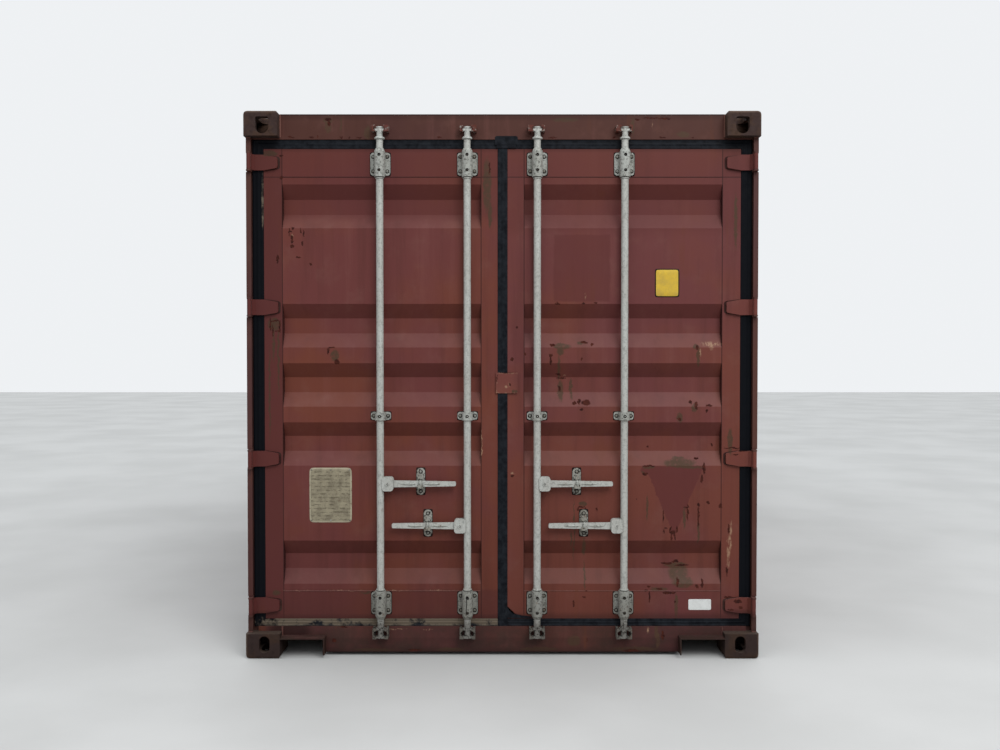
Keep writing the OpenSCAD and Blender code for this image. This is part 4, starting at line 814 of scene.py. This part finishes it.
run = bead((-168, 3.8, 300), (-172, 3.8, 207), 1.7)
piece("left_grease_run", [run], grease, "left_leaf")
for name, rods in rod_places.items():
    rims = [bead((x + dx, 55.8, z - 41), (x + dx, 55.8, z + 41), 2.4)
            for x in rods for z in long_brackets for dx in (-44.8, 44.8)]
    piece(name + "_bracket_rims", rims, bracket_zinc, name + "_leaf")
for name, (x, pin_x, z) in hubs.items():
    catch_x = x + math.copysign(190.0, pin_x - x)
    ribs = [bead((catch_x + side * 17, 21.4, z), (catch_x + side * 98, 21.4, z), 5.0, taper=0.8)
            for side in (-1, 1)]
    ribs.append(bead((catch_x, 20.4, z - 15), (catch_x, 20.4, z + 19), 9.5, taper=0.5, sides=12))
    piece(name + "_handle_ribs", ribs, bracket_zinc, "handle_" + name)


# Handle catches: pressed plates bolted to the leaves, with a bolt and washer through each
# end. The catches sit a little above the line of their handles.
catches = {"left": ((-390.0, 838.0), (-356.0, 638.0)), "right": ((356.0, 838.0), (390.0, 638.0))}
for name, places in catches.items():
    centres = [(x, plate_depth, z + dz) for x, z in places for dz in (-46.5, 46.5)]
    piece(name + "_catch_bolts", [turned(dome, centres)], old_bolt, name + "_leaf")
    # Their washers are dark with old grease and with painted shadow round the bolt heads.
    piece(name + "_catch_washers", [turned(washer, centres)], grease, name + "_leaf")


# Data plate on the left leaf: a stamped sheet fixed by rivets, weathered to beige, with
# nothing on it but worn ruled lines.
def sheet_of(x, z, front, back, rows=4):
    """A flat plate between x and z limits: rings of a rounded rectangle, whose corners are those of
    a circle with its sine and cosine to the power of a seventh, shrink from the rim to the middle."""
    angle = np.linspace(0.0, 2 * np.pi, 96, endpoint=False) + np.pi / 96
    across = np.sign(np.cos(angle)) * np.abs(np.cos(angle)) ** (1 / 7)
    up = np.sign(np.sin(angle)) * np.abs(np.sin(angle)) ** (1 / 7)
    share = np.concatenate([[1.0], [1.0], np.linspace(0.985, 0.0, rows)[:-1]])[:, None]
    depth = np.concatenate([[back], [front + 0.6], np.full(rows - 1, front)])[:, None]
    px = (x[0] + x[1]) / 2 + (x[1] - x[0]) / 2 * share * across[None]
    pz = (z[0] + z[1]) / 2 + (z[1] - z[0]) / 2 * share * up[None]
    return np.stack([px, door_end + np.broadcast_to(depth, px.shape), pz], axis=-1)[None]


plate_group, given, where, _ = surface(
    "weathered_plate", {"Face": (0.3, 0.25, 0.17, 1.0), "Rust": 0.5, "Soil": 1.0, "Rules": 1.0})
t = plate_group
blot = cloudy(t, where, 24.0, 8.0, 0.7)
pitted = ramp(t, cloudy(t, where, 45.0, 6.0, 0.75), 0.6, 0.7)
stripes = add(t, "TexWave", {"Vector": where, "Scale": 18.0, "Distortion": 1.5, "Detail Scale": 3.0},
              wave_type="BANDS", bands_direction="Z", wave_profile="SIN").outputs["Fac"]
worn = ramp(t, cloudy(t, where, 110.0, 4.0, 0.7, (0.5, 1.0, 1.0)), 0.46, 0.58)
ruled = times(t, times(t, ramp(t, stripes, 0.55, 0.85), worn), given["Rules"])
colour = coats(t, given["Face"], [
    ("soil", times(t, ramp(t, blot, 0.35, 0.7), given["Soil"]), (112, 104, 88)),
    ("ruled lines", times(t, ruled, 0.6), (74, 67, 55)),
    ("rust", times(t, pitted, given["Rust"]), (92, 58, 38)),
])
complete(t, colour, ramp(t, blot, 0.3, 0.7, 0.45, 0.7), calc(t, "MULTIPLY_ADD", ruled, -1.0, blot))
plain_rim = {"Face": linear(168, 160, 138), "Rust": 2.0, "Soil": 0.4, "Rules": 0.0}
edge_finish = finish("plate_edge", plate_group, plain_rim, metallic=0.15, depth=0.0005)[0]
lined_face = {"Face": linear(150, 142, 120), "Rust": 0.5}
plate_finish = finish("weathered_plate", plate_group, lined_face, metallic=0.15, depth=0.0005)[0]
rivet = [(4.0, 0.0), (4.0, 0.8), (3.2, 1.8), (1.6, 2.3)]
corners = [(x, door_end + 60.6, z) for x in (-914.0, -822.0, -731.0) for z in (650.0, 893.0)]
for name, blocks, material in (
    ("data_plate_edge", [sheet_of((-924, -721), (640, 903), 60.9, 62.0)], edge_finish),
    ("data_plate", [sheet_of((-917, -728), (647, 896), 60.4, 61.4, rows=24)], plate_finish),
    ("data_plate_rivets", [turned(rivet, corners)], old_bolt),
):
    piece(name, blocks, material, "left_leaf")


# A thin dark margin on the leaf behind each bracket and catch plate: painted shadow round
# its feet, partly dirt and old sealant squeezed out.
margin = thin_skin("dirt_and_shadow_margin", (24, 16, 15), 0.12)
for name, rods in rod_places.items():
    feet = [(x, z, 50.5, 57) for x in rods for z in long_brackets]
    feet += [(x, short_bracket, 50, 21.5) for x in rods]
    feet += [(x, z, 22.5, 66.5) for x, z in catches[name]]
    edges = [sheet_of((x - half_w, x + half_w), (z - half_h, z + half_h), 61.4, 62.2)
             for x, z, half_w, half_h in feet]
    piece(name + "_dirt_and_shadow_margins", edges, margin, name + "_leaf")


# Weld beads: the castings are welded to header, sill and posts, and each leaf's panel to its
# rails, with rippled fillets. Most of them took the paint thinly.
thin_red = {"Paint": linear(104, 68, 62), "Rust": 1.0, "Grime and low shade": 0.5}
weld_paint = finish("weld_paint", paint_group, thin_red, depth=0.001)[0]
casting_edge, ripple = 1055.5, 0.12
header_ends = [bead((side * casting_edge, 53.5, 2475), (side * casting_edge, 53.5, 2583), 4.0, ripple)
               for side in (-1, 1)]
sill_ends = [bead((side * casting_edge, 56.5, 96), (side * casting_edge, 56.5, 140), 4.0, ripple)
             for side in (-1, 1)]
post_ends = [bead((side * 1192, 37.5, z), (side * 1213, 37.5, z), 3.6, ripple)
             for side in (-1, 1) for z in (119.0, 2472.0)]
piece("frame_welds", header_ends + sill_ends + post_ends, weld_paint, "frame")
for name, side, paint in (("left", -1, left_paint), ("right", 1, right_paint)):
    for level, z, coat in (("top", 2289.0, paint), ("low", 310.0, weld_paint)):
        seam = bead((side * 105, 62.4, z), (side * 1048, 62.4, z), 2.0, 0.15)
        piece(f"{name}_{level}_rail_weld", [seam], coat, name + "_leaf")


# Painted shadow round the hinge blades: each blade stands on the stile with a thin dark
# margin that follows its taper.
def blade_margin(side, z):
    """A thin plate carried along x, whose half height falls in straight lines to the blade's tip."""
    x = side * np.array([1135.0, 1120.0, 1070.0, 1061.5, 1058.0])
    half = np.array([38.4, 37.2, 30.4, 26.6, 19.0])
    up = half[:, None] * np.array([-1.0, -1.0, 1.0, 1.0])[None]
    deep = np.broadcast_to(door_end + np.array([62.4, 61.3, 61.3, 62.4])[None], up.shape)
    return np.stack([np.broadcast_to(x[:, None], up.shape), deep, z + up], axis=-1)[None]


blade_shadow_paint = thin_skin("blade_shadow_paint", (54, 30, 28), 0.2)
hinge_levels = (243.0, 947.0, 1670.0, 2356.0)
for name, side in (("left", -1), ("right", 1)):
    plates = [blade_margin(side, z) for z in hinge_levels]
    piece(name + "_blade_margins", plates, blade_shadow_paint, name + "_leaf")


# Plain foil patches on the right leaf: a faded yellow square with a dark rim, and a small
# white strip near the bottom. Both are bare.
dark = {"Rubber": linear(34, 24, 20), "Dirt": 0.1}
yellow = {"Face": linear(206, 172, 60), "Rust": 0.1, "Soil": 0.3, "Rules": 0.0}
white = {"Face": linear(214, 216, 214), "Rust": 0.05, "Soil": 0.2, "Rules": 0.0}
dark_foil = finish("dark_foil", rubber_group, dark, depth=0.0001)[0]
yellow_foil = finish("faded_yellow_foil", plate_group, yellow, depth=0.0001)[0]
white_foil = finish("white_foil", plate_group, white, depth=0.0001)[0]
for name, x, z, front, back, foil in (
    ("square_patch_rim", (728, 845), (1718, 1854), 61.6, 62.0, dark_foil),
    ("square_patch", (733, 840), (1723, 1849), 61.3, 61.6, yellow_foil),
    ("white_strip", (894, 1003), (218, 270), 61.5, 62.0, white_foil),
):
    piece(name, [sheet_of(x, z, front, back)], foil, "right_leaf")


# Walls and roof: corrugated weathering steel 1.6 to 2 mm thick, welded all round to the rails
# and posts. Red outside; inside a pale grey coat, scuffed by cargo up to chest height.
wall_red = {"Paint": linear(96, 51, 45), "Rust": 0.45, "Grime and low shade": 0.8}
for name, axis, outside, paint in (
    ("side_wall_left", "X", -1.0, "left_wall_paint"),
    ("side_wall_right", "X", 1.0, "right_wall_paint"),
    ("end_wall", "Y", 1.0, "end_wall_paint"),
    ("roof_panel", "Z", 1.0, "roof_paint"),
):
    made, tree, look, shader = finish(paint, paint_group, wall_red)
    lining(tree, look, shader, axis, outside)
    wear([name], made)


# Plywood floor: 28 mm sheets of glued hardwood plies laid on the cross members and held
# by self-drilling screws, worn and oiled.
wood_group, given, where, _ = surface("worn_plywood", {"Wood": (0.3, 0.17, 0.08, 1.0)})
t = wood_group
grain = cloudy(t, where, 26.0, 8.0, 0.65, (1.0, 0.05, 1.0))
scuff = cloudy(t, where, 3.0, 8.0, 0.7)
colour = coats(t, given["Wood"], [
    ("grain", ramp(t, grain, 0.35, 0.7), (98, 64, 38)),
    ("scuffs", ramp(t, scuff, 0.5, 0.7, 0.0, 0.6), (66, 50, 38)),
])
complete(t, colour, ramp(t, scuff, 0.3, 0.7, 0.5, 0.75), grain)
plywood = finish("floor_plywood", wood_group, {"Wood": linear(142, 98, 60)}, depth=0.0006)[0]
wear(["floor_boards"], plywood)


# Cross members and fork pockets: pressed steel channels under the floor, dipped in a
# black bituminous coating that is dusty and rusting where stones have struck it.
black = {"Paint": linear(44, 41, 38), "Rust": 0.8, "Grime and low shade": 0.9}
coating = finish("underside_coating", paint_group, black)[0]
wear(["cross_members", "fork_pockets"], coating)


# Ventilators: moulded plastic louvre boxes screwed over the small air holes high in the side
# walls, painted with the wall and bleached by the sun.
vent_group, given, where, _ = surface("bleached_plastic", {"Plastic": (0.2, 0.1, 0.09, 1.0)})
t = vent_group
grain = cloudy(t, where, 120.0, 4.0, 0.6)
fade = cloudy(t, where, 9.0, 6.0, 0.6, (1.0, 1.0, 0.3))
colour = coats(t, given["Plastic"], [
    ("bleaching", ramp(t, fade, 0.35, 0.65, 0.0, 0.5), (150, 120, 112)),
    ("dirt in the grain", ramp(t, grain, 0.55, 0.7, 0.0, 0.4), (70, 44, 38)),
])
complete(t, colour, ramp(t, grain, 0.3, 0.7, 0.45, 0.6), calc(t, "ADD", grain, fade))
plastic = finish("ventilator_plastic", vent_group, {"Plastic": linear(112, 66, 58)}, depth=0.0004)[0]
wear(["ventilators"], plastic)
